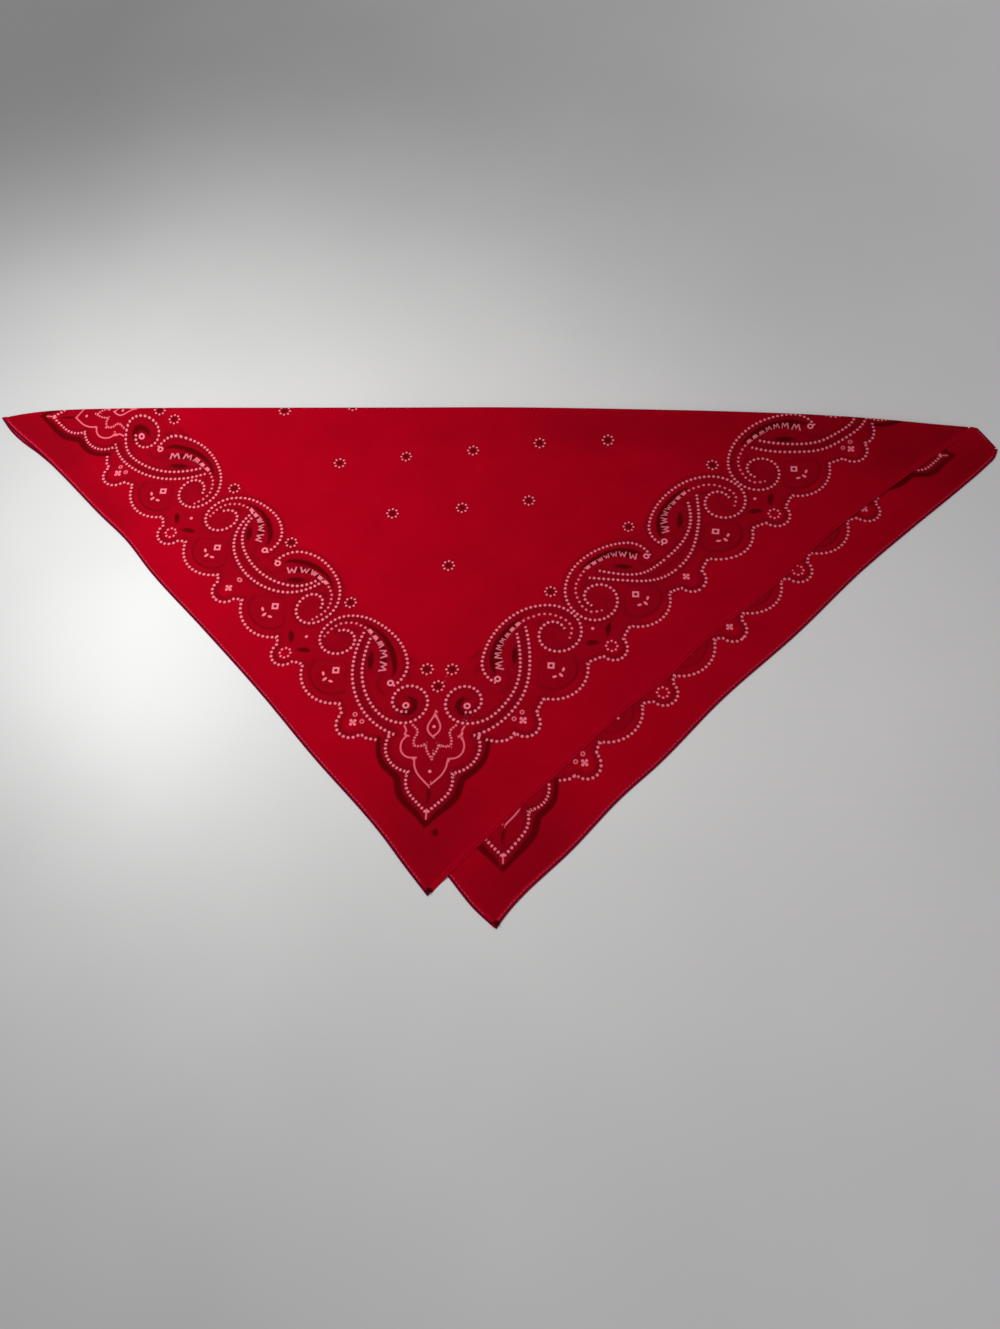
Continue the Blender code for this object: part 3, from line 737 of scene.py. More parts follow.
# columns: distance along the comb, number of the tooth, half height. Each tooth's middle is at a half.
TEETH = {
    "short": ((0, 2.0, 2.6), (5.0, 2.5, 2.6), (15.6, 3.5, 2.3), (23.7, 4.5, 2.0), (30.1, 5.5, 1.5),
              (36.5, 6.5, 1.4), (39.7, 7.0, 1.4)),
    "long": ((0, 0.0, 2.9), (4.3, 0.5, 2.8), (13.0, 1.5, 2.5), (19.5, 2.5, 2.1), (25.5, 3.5, 1.8),
             (31.2, 4.5, 1.4), (37.0, 5.5, 1.4), (42.8, 6.5, 1.4), (45.6, 7.0, 1.4)),
}


def near_box(cloth, low, high):
    """The numbers of the points inside a box on the cloth."""
    return np.flatnonzero(np.all((cloth > low) & (cloth < high), axis=1))


def nearest_on(cloth, line):
    """For each point: offset across the line, length along it, distance to it and the nearest sample. The
    nearest sample is found first, and then the point is measured along and across the direction there."""
    step = unit(np.gradient(line, axis=0))
    run = running_length(line)
    gaps = (cloth[:, None, 0] - line[None, :, 0]) ** 2 + (cloth[:, None, 1] - line[None, :, 1]) ** 2
    sample = np.argmin(gaps, axis=1)
    away = cloth - line[sample]
    ahead = np.sum(away * step[sample], axis=1)
    across = away[:, 1] * step[sample, 0] - away[:, 0] * step[sample, 1]
    return across, run[sample] + ahead, np.sqrt(gaps[np.arange(len(cloth)), sample]), sample, run[-1]


def line_field(cloth, layer):
    """The nearest line of a layer at each place: offset across it, count of beads along it, distance."""
    field = np.tile([FAR, 0.0, FAR], (len(cloth), 1))
    for line, shade, kind, pitch in lines[layer]:
        inside = near_box(cloth, line.min(axis=0) - REACH, line.max(axis=0) + REACH)
        if len(inside) == 0:
            continue
        across, run, away, _, total = nearest_on(cloth[inside], line)
        if layer == "comb":
            table = np.array(TEETH[kind])
            share = run / total * table[-1, 0]
            across = across * shade / np.interp(share, table[:, 0], table[:, 2])
            count = np.interp(share, table[:, 0], table[:, 1])
        else:
            count = run / total * max(1, round(total / pitch))
            across = across * shade if shade else across
        better = away < field[inside, 2]
        field[inside[better]] = np.stack([across, count, away], axis=1)[better]
    return field


def print_numbers(cloth):
    """Every attribute of the print at some places on the cloth."""
    count = len(cloth)
    found = {layer: line_field(cloth, layer) for layer in lines}
    black = np.full(count, FAR)
    for line, half_width in darks:
        inside = near_box(cloth, line.min(axis=0) - REACH, line.max(axis=0) + REACH)
        if len(inside):
            _, _, away, sample, _ = nearest_on(cloth[inside], line)
            black[inside] = np.minimum(black[inside], away - half_width[sample])
    found["black"] = black
    from_side = np.min([cloth[:, 0], cloth[:, 1], CLOTH_U - cloth[:, 0], CLOTH_V - cloth[:, 1]], axis=0)
    inside_lobes = soft_step((from_side - WASH_START) / 8.0)
    wash = WASH * inside_lobes * (1.0 - soft_step((from_side - WASH_END) / 16.0))
    veil = np.zeros(count)
    for line, width, strength in print_veils_and_painted_shade:
        inside = near_box(cloth, line.min(axis=0) - 2.5 * width, line.max(axis=0) + 2.5 * width)
        if len(inside):
            away = nearest_on(cloth[inside], line)[2]
            veil[inside] = np.maximum(veil[inside], strength * np.exp(-((away / width) ** 2)))
    found["veil"] = 1.0 - (1.0 - wash) * (1.0 - veil)
    field = np.zeros((count, 3))
    nearness = np.full(count, FAR)
    for at, name, side, far_half in motifs:
        reach = MOTIF_REACH[name]
        inside = near_box(cloth, at[0] - reach - MARGIN, at[0] + reach + MARGIN)
        if len(inside) == 0:
            continue
        away = cloth[inside] - at[0]
        beyond = np.linalg.norm(away, axis=1) - reach
        better = (beyond < MARGIN) & (beyond < nearness[inside])
        inner = {"A_B": away[:, 1], "D_C": -away[:, 1], "A_D": away[:, 0], "B_C": -away[:, 0]}[side]
        sideways = away[:, 0] if side in ("A_B", "D_C") else away[:, 1]
        local = np.stack([sideways, inner, np.full(len(inside), float(KINDS[name]))], axis=1)
        field[inside[better]] = local[better]
        nearness[inside[better]] = beyond[better]
    found["motif"] = field
    found["beyond"] = nearness
    return found


def set_numbers(mesh, found, rows):
    """Puts the print's numbers on a mesh. rows says which of its points they belong to, and the others are
    far from every line."""
    for name, values in found.items():
        far_away = (FAR, 0.0, FAR) if values.ndim == 2 else FAR
        unprinted = {"veil": 0.0, "motif": (0.0, 0.0, 0.0)}.get(name, far_away)
        full = np.full((len(mesh.vertices), *values.shape[1:]), unprinted)
        full[rows] = values
        set_attribute(mesh, name, full)


def set_attribute(mesh, name, values):
    """Keeps numbers, or vectors of three, on the points of a mesh."""
    wide = values.ndim == 2
    layer = mesh.attributes.new(name, "FLOAT_VECTOR" if wide else "FLOAT", "POINT")
    layer.data.foreach_set("vector" if wide else "value", values.astype(np.float32).ravel())


# %% [markdown]
# ## A mesh from a grid
# Every piece is a closed tube of rings: the ring goes over the top of the piece and back under it. One
# helper joins the rings with quads and closes both ends.

# %% Rings to a mesh
def ring_mesh(name, rings, caps=True):
    """A closed mesh through rings of equally many points: quads join neighbours, and a fan of quads between
    the ring's two halves closes each end."""
    count, around = rings.shape[:2]
    i, j = np.meshgrid(np.arange(count - 1), np.arange(around), indexing="ij")
    n = (j + 1) % around
    quads = np.stack([i * around + j, i * around + n, (i + 1) * around + n, (i + 1) * around + j], axis=-1)
    faces = [quads.reshape(-1, 4)]
    if caps:
        k = np.arange(around // 2 - 1)
        cap = np.stack([k, around - 1 - k, around - 2 - k, k + 1], axis=1)
        faces += [cap, cap[:, ::-1] + (count - 1) * around]
    faces = np.concatenate(faces)
    mesh = bpy.data.meshes.new(name)
    mesh.vertices.add(count * around)
    mesh.vertices.foreach_set("co", (rings * MM).reshape(-1).astype(np.float32))
    mesh.loops.add(faces.size)
    mesh.loops.foreach_set("vertex_index", faces.ravel().astype(np.int32))
    mesh.polygons.add(len(faces))
    mesh.polygons.foreach_set("loop_start", np.arange(0, faces.size, 4, dtype=np.int32))
    mesh.update(calc_edges=True)
    mesh.validate()
    mesh.shade_smooth()
    return mesh


def link_object(name, data):
    """An object in the scene that shows a mesh, light or camera."""
    made = bpy.data.objects.new(name, data)
    bpy.context.scene.collection.objects.link(made)
    return made


def add_piece(mesh, material, slot, *nodes):
    """Links a piece, gives it its finish, puts it under the frame's root and hides the imported parts it
    stands in for.
    """
    piece = link_object(mesh.name, mesh)
    mesh.materials.append(material)
    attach(piece, "root")
    if nodes:
        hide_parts(*nodes)
    print(mesh.name, len(mesh.polygons), "faces")
    return piece


# %% [markdown]
# ## Finishes
# The whole print is one material. Its colour starts from the dyed ground, is darkened by the black
# strokes and veils, and ends with the pale beads and lines. The weave is a bump: warp and weft pass over
# and under each other about every half millimetre. A small class lets the maths be written as formulas.

# %% Shader maths as formulas
class Socket:
    """An output socket. Operators on it add Math nodes."""

    def __init__(self, tree, plug):
        self.tree, self.plug = tree, plug

    def node(self, kind, settings=None, values=None, output=0):
        """Adds a node of some type, with its settings and its sockets' values or links."""
        made = self.tree.nodes.new(kind)
        for key, value in (settings or {}).items():
            setattr(made, key, value)
        for key, value in (values or {}).items():
            if isinstance(value, Socket):
                self.tree.links.new(value.plug, made.inputs[key])
            else:
                made.inputs[key].default_value = value
        return Socket(self.tree, made.outputs[output])

    def math(self, operation, other=None, third=None):
        values = {0: self}
        if other is not None:
            values[1] = other
        if third is not None:
            values[2] = third
        return self.node("ShaderNodeMath", {"operation": operation}, values)

    def __add__(self, other):
        return self.math("ADD", other)

    def __radd__(self, other):
        return self.math("ADD", other)

    def __sub__(self, other):
        return self.math("SUBTRACT", other)

    def __rsub__(self, other):
        return (self * -1.0) + other

    def __mul__(self, other):
        return self.math("MULTIPLY", other)

    def __rmul__(self, other):
        return self.math("MULTIPLY", other)

    def __truediv__(self, other):
        return self.math("DIVIDE", other)

    def __rtruediv__(self, other):
        return self.math("POWER", -1.0) * other

    def __pow__(self, other):
        return self.math("POWER", other)

    def __abs__(self):
        return self.math("ABSOLUTE")

    def fract(self):
        return self.math("FRACT")

    def root(self):
        return self.math("SQRT")

    def cos(self):
        return self.math("COSINE")

    def sin(self):
        return self.math("SINE")

    def least(self, other):
        return self.math("MINIMUM", other)

    def most(self, other):
        return self.math("MAXIMUM", other)

    def below(self, limit, soft=0.25):
        """1 where this is under the limit, 0 above it, with a soft change of some width."""
        values = {0: self, 1: limit - soft, 2: limit + soft, 3: 1.0, 4: 0.0}
        return self.node("ShaderNodeMapRange", {"interpolation_type": "SMOOTHSTEP"}, values)

    def parts(self):
        """The three numbers of a vector."""
        made = self.tree.nodes.new("ShaderNodeSeparateXYZ")
        self.tree.links.new(self.plug, made.inputs[0])
        return [Socket(self.tree, plug) for plug in made.outputs]


def start_material(name, roughness):
    """A new material, its surface shader and a starting socket for formulas."""
    material = bpy.data.materials.new(name)
    material.use_nodes = True
    tree = material.node_tree
    shader = tree.nodes["Principled BSDF"]
    shader.inputs["Roughness"].default_value = roughness
    return material, shader, Socket(tree, shader.outputs[0])


def attribute(start, name, output=1):
    """A mesh attribute as a vector (output 1) or a number (output 2)."""
    settings = {"attribute_type": "GEOMETRY", "attribute_name": name}
    return start.node("ShaderNodeAttribute", settings, {}, output)


def blend(start, share, first, second):
    """Mixes two colours by a share."""
    return start.node("ShaderNodeMix", {"data_type": "RGBA"}, {0: share, 6: first, 7: second}, 2)


def noise(start, at, scale, detail, roughness=0.5):
    """Soft noise from 0 to 1 in space."""
    values = {"Vector": at, "Scale": scale, "Detail": detail, "Roughness": roughness}
    return start.node("ShaderNodeTexNoise", {"noise_dimensions": "3D"}, values)


def object_place(start):
    """The place on an object, in metres, which stays with it."""
    return start.node("ShaderNodeTexCoord", {}, {}, 3)


def feed(shader, name, socket):
    """Links a socket to one of the shader's inputs."""
    socket.tree.links.new(socket.plug, shader.inputs[name])


def raised(start, height, strength, distance):
    """A bump from a height."""
    return start.node("ShaderNodeBump", {}, {"Strength": strength, "Distance": distance, "Height": height})


# %% [markdown]
# ## The print's shapes as formulas
# A bead is a place whose distance to a point on its line is small, a tooth is a folded zigzag, and a
# rosette is eight beads round a circle. Each is a few lines of maths on the numbers kept at the points,
# so that no picture is needed and the edges stay sharp close up.

# %% The formulas of the print
BEAD = 1.0
SMALL_BEAD = 0.88
DOT = 0.78
INK = (0.075, 0.0012, 0.0018, 1.0)
SHADE = (0.130, 0.0015, 0.0050, 1.0)
BEAD_PINK = (0.86, 0.200, 0.260, 1.0)
LINE_PINK = (0.80, 0.150, 0.200, 1.0)


def beads(field, pitch, radius):
    """Round beads: the distance across the line and the distance to the middle of the nearest bead, taken
    together, are less than the radius."""
    across, count, away = field.parts()
    behind = (count.fract() - 0.5) * pitch
    return (across * across + behind * behind).root().below(radius, 0.36) * away.below(2.4, 0.3)


def bead_shade(field):
    """The dark line a bead row is printed on: narrow outside it, and wider and fading inside."""
    across, count, away = field.parts()
    inside = across.most(0.0) * 0.19
    outside = (across * -1.0).most(0.0) * 0.55
    return (1.0 - inside - outside).most(0.0) * away.below(5.2, 1.0)


def teeth(field):
    """The comb: zigzag teeth like an M, which turn into plain ovals as they get smaller. Across is measured
    in half heights, and the place in a tooth is folded about its middle."""
    across, count, away = field.parts()
    off_middle = abs(count.fract() - 0.5)
    stroke = abs(off_middle - (0.27 - across * 0.07)).least(abs(off_middle - (across * 0.15 + 0.045)))
    zigzag = stroke.below(0.056, 0.05) * abs(across).below(1.0, 0.2)
    oval = ((off_middle * 3.7) ** 2.0 + across * across).below(1.0, 0.3)
    small = 1.0 - count.below(4.4, 1.0)
    return zigzag.most(oval * small) * away.below(4.4, 0.3)


def rosette(x, y, radius, bead):
    """Eight beads on a circle: the angle is folded into one eighth, and the distance to the bead there
    comes from the cosine rule."""
    away = (x * x + y * y).root()
    turn = x.math("ARCTAN2", y)
    folded = ((turn * (8.0 / math.tau) + 0.5).fract() - 0.5) * (math.tau / 8.0)
    gap = (away * away + radius * radius - away * folded.cos() * (2.0 * radius)).most(0.0).root()
    return gap.below(bead), away


def spot(x, y, at, radii, turn=0.0):
    """An oval spot: the scaled distance from its middle is less than 1."""
    c, s = math.cos(math.radians(turn)), math.sin(math.radians(turn))
    dx, dy = x - at[0], y - at[1]
    across, along = (dx * c + dy * s) / radii[0], (dy * c - dx * s) / radii[1]
    return (across * across + along * along).root().below(1.0, 0.22)


def is_kind(kind, name):
    """1 where the nearest motif is of one kind."""
    return abs(kind - float(KINDS[name])).below(0.3, 0.1)


def darker(colour, share):
    """A share of a colour's light."""
    return tuple(share * value for value in colour[:3]) + (1.0,)


def printed_cotton(name, ground, roughness, strength):
    """The printed cloth. strength is how strongly the print shows: it is fainter on the reverse."""
    material, shader, start = start_material(name, roughness)
    pale, under = None, None
    for layer in ("beads_a", "beads_b", "beads_c", "beads_d"):
        field = attribute(start, layer)
        row, row_shade = beads(field, PITCHES[layer], BEAD), bead_shade(field)
        pale = row if pale is None else pale.most(row)
        under = row_shade if under is None else under.most(row_shade)
    pale = pale.most(beads(attribute(start, "small_beads"), PITCHES["small_beads"], SMALL_BEAD) * 0.85)
    pale = pale.most(beads(attribute(start, "dots"), PITCHES["dots"], DOT) * 0.8)
    across, _, away = attribute(start, "thin").parts()
    thin = abs(across).below(0.55, 0.3) * away.below(1.8, 0.3)
    comb = teeth(attribute(start, "comb"))

    x, y, kind = attribute(start, "motif").parts()
    here = attribute(start, "beyond", 2).below(-0.1, 0.1)
    flower, away = rosette(x, y, 3.95, 0.8)
    flower_dark = (away.below(2.2, 0.9) * 0.9).most(away.below(5.0, 1.2) * 0.55)
    is_flower = is_kind(kind, "rosette") * here
    lobe_flower, _ = rosette(x, y, 4.0, 0.82)
    ring = abs(away - 1.75).below(0.66, 0.28)
    wide, tall = abs(x), abs(y)
    clover = spot(wide, y, (0.0, 0.0), (0.8, 0.8)).most(spot(wide, tall, (0.0, 1.9), (1.05, 1.05)))
    clover = clover.most(spot(wide, tall, (1.9, 0.0), (1.05, 1.05)))
    eyes = abs((((wide - 3.7) ** 2.0 + (y - 5.0) ** 2.0).root()) - 1.25).below(0.45) * 0.7
    eye_below = abs(((x ** 2.0) * 0.5 + (y - 10.0) ** 2.0).root() - 1.2).below(0.45) * 0.7
    diamond_edge = wide + abs(y - 4.2)
    diamond = abs(diamond_edge - 2.45).below(0.95, 0.3)
    petals = spot(x, y, (0.0, -5.8), (0.95, 1.8)).most(spot(wide, y, (4.2, -3.8), (0.9, 1.6), -62.0))
    dot = away.below(1.1)
    small_motifs = (
        (flower, "rosette"), (lobe_flower, "lobe rosette"), (ring, "ring"), (clover.most(eyes), "clover"),
        (clover.most(eye_below), "clover below"), (diamond.most(petals), "diamond"), (dot, "dot"),
        (clover, "plain clover"),
    )
    for shape, motif_name in small_motifs:
        pale = pale.most(shape * is_kind(kind, motif_name) * here)

    hole = (away.below(1.05) * is_kind(kind, "ring")).most(
        diamond_edge.below(1.4) * is_kind(kind, "diamond")) * here
    black = attribute(start, "black", 2).below(0.1, 0.9).most(flower_dark * is_flower).most(hole)
    veil = attribute(start, "veil", 2)

    cloth = attribute(start, "cloth")
    u, v, _ = cloth.parts()
    mottle = noise(start, cloth, 0.03, 4.0, 0.55)
    grain = noise(start, cloth, 1.1, 2.0, 0.6)
    colour = blend(start, mottle, darker(ground, 0.74), ground)
    colour = blend(start, grain * 0.2, colour, darker(ground, 0.6))
    # veil holds the print's veils and painted shade: the darker tips, the fold towards its end and the
    # fold's outer rows
    colour = blend(start, veil * (0.62 + grain * 0.3) * strength, colour, SHADE)
    colour = blend(start, under * (0.46 + grain * 0.3) * strength, colour, SHADE)
    colour = blend(start, black * (0.8 + grain * 0.2) * strength, colour, INK)
    colour = blend(start, thin * (0.62 + grain * 0.4) * strength, colour, LINE_PINK)
    colour = blend(start, pale.most(comb * 0.92) * (0.66 + grain * 0.5) * strength, colour, BEAD_PINK)
    feed(shader, "Base Color", colour)

    warp, weft = u * (math.tau / THREAD_PITCH), v * (math.tau / THREAD_PITCH)
    feed(shader, "Normal", raised(start, warp.sin() * weft.sin() * 0.5 + grain, 0.35, 0.00006))
    matt_surface(shader)
    return material


def matt_surface(shader):
    """Cotton has almost no gloss: a weak red sheen and a very weak shine."""
    shader.inputs["Sheen Weight"].default_value = 0.05
    shader.inputs["Sheen Tint"].default_value = (0.7, 0.01, 0.04, 1.0)
    shader.inputs["Specular IOR Level"].default_value = 0.0


THREAD_PITCH = 0.55
face_cotton = printed_cotton("printed_cotton_face", (0.395, 0.0006, 0.0100, 1.0), 0.85, 1.0)
reverse_cotton = printed_cotton("printed_cotton_reverse", (0.405, 0.0006, 0.0100, 1.0), 0.9, 0.95)
print("nodes in the face's material:", len(face_cotton.node_tree.nodes))

# %% [markdown]
# ## The front leaf and the fold
# On the real cloth the front leaf and the turned edge are one stretch, so they are one piece. Each ring
# starts at the hem, climbs the leaf to the fold, goes round the fold to the table and returns along the
# inside. The rings are close together because the print's numbers are kept on their points.

# %% The front cloth
COLUMN_STEP = 1.66
TOP_ROWS = 164
ARC_ROWS = 10
UNDER_ROWS = 26
TUCK = 0.8
# painted shade on the fold's outermost rows
PAINTED_FOLD_SHADE = 0.8
CROWD = 0.34
CROWD_DEPTH = 260.0
INNER_BUNCHING = 2.2
INNER_RISE = 0.7

# the bake's layout: the outside is a band at the bottom, and the inside one above it
BAKE_BAND = 0.47
BAKE_OUTSIDE = 0.02
BAKE_INSIDE = 0.51
BAKE_MARGIN = 0.01


def hem_side(edge, x):
    """Where a leaf goes under a hem: just inside the hem's inner side."""
    return EDGES[edge].y_at(x, HEM_WIDTH - TUCK)


def columns_between(low, high, corners, step):
    """Evenly spaced x, with one exactly at each corner."""
    stops = [low, *corners, high]
    spans = [np.linspace(a, b, max(2, math.ceil((b - a) / step)), endpoint=False)
             for a, b in zip(stops, stops[1:])]
    return np.concatenate([*spans, [high]])


def hems_meet(first, second, near):
    """The x near some place at which the inner sides of two hems come closest."""
    x = np.linspace(near - 20.0, near + 20.0, 4000)
    return x[np.argmin(np.abs(hem_side(first, x) - hem_side(second, x)))]


def deep_range(top, bottom, least):
    """The first and last x at which the cloth is at least so deep."""
    x = np.linspace(TIP_A[0], TIP_C[0], 8000)
    deep = x[top(x) - bottom(x) >= least]
    return deep[0], deep[-1]


def front_side(x):
    return np.maximum(hem_side("A_B", x), hem_side("B_E", x))


def fold_leg(x):
    """How far the fold's lower side reaches in on the table: less where the front leaf narrows to a tip."""
    return np.clip(0.8 * (EDGES["A_E"].y_at(x) - front_side(x)), 0.0, FOLD_DEPTH)


def front_rings(x):
    """The rings of the front cloth. Rows are closer together near the hem, where the border is."""
    outer = EDGES["A_E"].y_at(x)
    low = front_side(x)
    depth = outer - low
    height = fold_height(x)
    half_depth = np.minimum(height / 2.0, depth * 0.4)
    t = np.linspace(0.0, 1.0, TOP_ROWS)[None, :]
    crowd = CROWD * np.clip(depth / CROWD_DEPTH, 0.0, 1.0)[:, None]
    share = (1.0 - crowd) * t + crowd * t * t
    y_top = low[:, None] + (depth - half_depth)[:, None] * share
    xs = np.broadcast_to(x[:, None], y_top.shape)
    top = np.stack([xs, y_top, front_height(xs, y_top)], axis=-1)
    top[:, -1, 2] = height

    turn = np.linspace(math.pi / 2.0, -math.pi / 2.0, ARC_ROWS + 1)[None, 1:]
    y_arc = outer[:, None] - half_depth[:, None] * (1.0 - np.cos(turn))
    z_arc = height[:, None] / 2.0 * (1.0 + np.sin(turn))
    arc = np.stack([np.broadcast_to(x[:, None], y_arc.shape), y_arc, z_arc], axis=-1)

    table = np.stack([x, outer - fold_leg(x), np.zeros_like(x)], axis=-1)[:, None]
    table_inner = table + (0.0, 0.0, CLOTH)
    inner_half = half_depth - CLOTH * half_depth / (height / 2.0)
    y_inner = (outer - half_depth)[:, None] + inner_half[:, None] * np.cos(turn[:, ::-1])
    z_inner = height[:, None] / 2.0 + (height[:, None] / 2.0 - CLOTH) * np.sin(turn[:, ::-1])
    inner = np.stack([np.broadcast_to(x[:, None], y_inner.shape), y_inner, z_inner], axis=-1)
    under_share = 1.0 - np.linspace(0.0, 1.0, UNDER_ROWS)[None, :] ** INNER_BUNCHING
    y_under = low[:, None] + (depth - half_depth)[:, None] * under_share
    xs = np.broadcast_to(x[:, None], y_under.shape)
    z_under = front_base(xs, y_under) - CLOTH + INNER_RISE * fold_rise(xs, y_under)
    z_under[:, 0] = height - CLOTH
    under = np.stack([xs, y_under, z_under], axis=-1)

    arc_length = np.abs(np.diff(turn, axis=1, prepend=math.pi / 2.0)).cumsum(axis=1) * height[:, None] / 2.0
    y_flat = np.concatenate([y_top, (outer - half_depth)[:, None] + arc_length], axis=1)
    rings = np.concatenate([top, arc, table, table_inner, inner, under], axis=1)
    return rings, y_flat


def bake_map(mesh, flat_u, flat_v):
    """The layout for the bake: each point's place between 0 and 1, the same for all faces round it."""
    layer = mesh.uv_layers.new(name="OFBake")
    index = np.empty(len(mesh.loops), dtype=np.int32)
    mesh.loops.foreach_get("vertex_index", index)
    places = np.stack([flat_u[index], flat_v[index]], axis=1)
    layer.uv.foreach_set("vector", places.astype(np.float32).ravel())


def dress(mesh, rings, y_flat, front):
    """Puts the cloth's own places, the print's numbers and the bake's layout on a leaf. The fold's
    outermost rows get painted shade, where the fold's rounded edge turns away from the light."""
    count, around = rings.shape[:2]
    outer_rows = y_flat.shape[1]
    rows = (np.arange(count)[:, None] * around + np.arange(outer_rows)[None, :]).ravel()
    y_all = np.concatenate([y_flat, rings[:, outer_rows:, 1]], axis=1)
    cloth = unfold(rings[..., 0].ravel(), y_all.ravel(), front)
    found = print_numbers(cloth[rows])
    if front:
        # painted shade along the fold's outermost rows, where its rounded edge turns away from the light
        painted_fold_shade = PAINTED_FOLD_SHADE * soft_step((np.arange(outer_rows) - TOP_ROWS + 2) / 4.0)
        found["veil"] = np.maximum(found["veil"], np.tile(painted_fold_shade, count))
    set_numbers(mesh, found, rows)
    set_attribute(mesh, "cloth", np.column_stack([cloth, np.zeros(len(cloth))]))
    low, high = y_all.min(), y_all.max()
    level = (y_all - low) / (high - low) * BAKE_BAND
    level[:, :outer_rows] += BAKE_OUTSIDE
    level[:, outer_rows:] += BAKE_INSIDE
    wide = (rings[..., 0] - rings[..., 0].min()) / np.ptp(rings[..., 0])
    bake_map(mesh, BAKE_MARGIN + (1.0 - 2.0 * BAKE_MARGIN) * wide.ravel(), level.ravel())
    return cloth


apex = hems_meet("A_B", "B_E", TIP_B[0])
low_x, high_x = deep_range(EDGES["A_E"].y_at, front_side, 2.0)
rings, y_flat = front_rings(columns_between(low_x, high_x, [apex], COLUMN_STEP))
front_mesh = ring_mesh("front_cloth", rings)
dress(front_mesh, rings, y_flat, True)
front_cloth = add_piece(front_mesh, face_cotton, "cotton_face", "front_leaf", "fold_turn")

# %% [markdown]
# ## The back leaf
# It is one flat layer on the table. Most of it is hidden, so its rows are close together only near the
# edge that shows. What shows is the other face of the cloth.

# %% The back cloth
BACK_ROWS = 112
BACK_UNDER_ROWS = 8
BACK_CROWD = 0.66
BACK_CROWD_DEPTH = 220.0


def back_side(x):
    return np.maximum(hem_side("A_D", x), hem_side("D_C", x))


def back_fold_side(x):
    end = line_y((EDGES["E_C"].points + EDGES["E_C"].inward * (HEM_WIDTH - TUCK))[::100], x)
    return np.minimum(EDGES["A_E"].y_at(x) - fold_leg(x) - 0.2, end)


def back_rings(x):
    """The rings of the back cloth: over the top from the hem to the fold, and back along the table."""
    low, high = back_side(x), back_fold_side(x)
    t = np.linspace(0.0, 1.0, BACK_ROWS)[None, :]
    crowd = BACK_CROWD * np.clip((high - low) / BACK_CROWD_DEPTH, 0.0, 1.0)[:, None]
    share = (1.0 - crowd) * t + crowd * t * t
    y_top = low[:, None] + (high - low)[:, None] * share
    y_under = low[:, None] + (high - low)[:, None] * np.linspace(1.0, 0.0, BACK_UNDER_ROWS)[None, :]
    flat = [np.stack([np.broadcast_to(x[:, None], y.shape), y, np.full(y.shape, z)], axis=-1)
            for y, z in ((y_top, BACK_TOP), (y_under, 0.0))]
    return np.concatenate(flat, axis=1), y_top


corner_d_x = hems_meet("A_D", "D_C", TIP_D[0])
low_x, high_x = deep_range(back_fold_side, back_side, 1.0)
rings, y_flat = back_rings(columns_between(low_x, high_x, [corner_d_x], COLUMN_STEP))
back_mesh = ring_mesh("back_cloth", rings)
dress(back_mesh, rings, y_flat, False)
back_cloth = add_piece(back_mesh, reverse_cotton, "cotton_reverse", "back_leaf")

# %% [markdown]
# ## The hems
# Each side is turned twice and sewn down. The strip is thicker than the cloth, rounded outside, and
# pulled in a little by every few stitches. It is a section carried along the edge.

# %% Hem strips
HEM_STEP = 1.8
STITCH_INSET = 1.75
STITCH_LENGTH = 2.6
STITCH_PITCH = 2.9
THREAD_RADIUS = 0.2

# columns: inset, height above the hem's underside; over the top from the outer side, and back below
HEM_SECTION = ((-0.35, 0.45), (-0.3, 0.8), (-0.05, 1.06), (0.5, 1.2), (1.1, 1.14), (1.75, 1.02),
               (2.6, 1.12), (3.3, 1.0), (3.5, 0.5), (3.3, 0.1), (2.4, 0.0), (1.2, 0.0), (0.2, 0.05),
               (-0.27, 0.2))

# the front leaf's lower hem was pressed to a soft slope, so its edge hardly shows on the back leaf
PRESSED_SECTION = ((-0.7, 0.12), (-0.5, 0.3), (0.0, 0.52), (0.5, 0.76), (1.1, 0.98), (1.75, 1.02),
                   (2.6, 1.1), (3.3, 1.0), (3.5, 0.5), (3.3, 0.1), (2.4, 0.0), (1.2, 0.0), (0.2, 0.0),
                   (-0.4, 0.0))


def hem_floor(name, x, y):
    """The underside of a hem: under the front leaf's upper side, or on the table."""
    if name.startswith("front"):
        return front_height(x, y) - CLOTH
    return np.zeros_like(x)


# edge, how far each end stops short of the corner, and how much further for each millimetre of inset
HEMS = {
    "front_hem_left": ("A_B", (0.0, 0.0), (0.58, 0.0)),
    "front_hem_lower": ("B_E", (3.4, 0.0), (0.0, 0.95)),
    "back_hem_left": ("A_D", (0.0, 3.4), (0.58, 0.0)),
    "back_hem_lower": ("D_C", (0.0, 0.0), (0.0, 0.0)),
    "back_hem_end": ("E_C", (-2.0, 2.2), (-0.57, 0.0)),
}


# how thick each hem was pressed, as a share of the section
HEM_THINNING = {"front_hem_left": 0.6, "front_hem_lower": 0.32, "back_hem_left": 0.5, "back_hem_lower": 0.6,
                "back_hem_end": 0.6}


def hem_line(name, inset, length_share):
    """Plan points of a hem at some inset and shares of its length."""
    edge_name, setbacks, slants = HEMS[name]
    edge = EDGES[edge_name]
    first = (setbacks[0] + slants[0] * inset) / edge.length
    last = 1.0 - (setbacks[1] + slants[1] * inset) / edge.length
    return edge.at(first + (last - first) * length_share, inset)


# columns: length of a wave over 2 pi, how it shifts with the seed, size
PUCKER_WAVES = ((5.3, 1.0, 0.5), (8.9, 2.1, 0.3), (23.0, 0.7, 0.4))


def pucker(run, seed):
    """A slow uneven wave along a sewn edge, the sum of three sines of unlike lengths."""
    return sum(size * np.sin(run / length + shift * seed) for length, shift, size in PUCKER_WAVES)


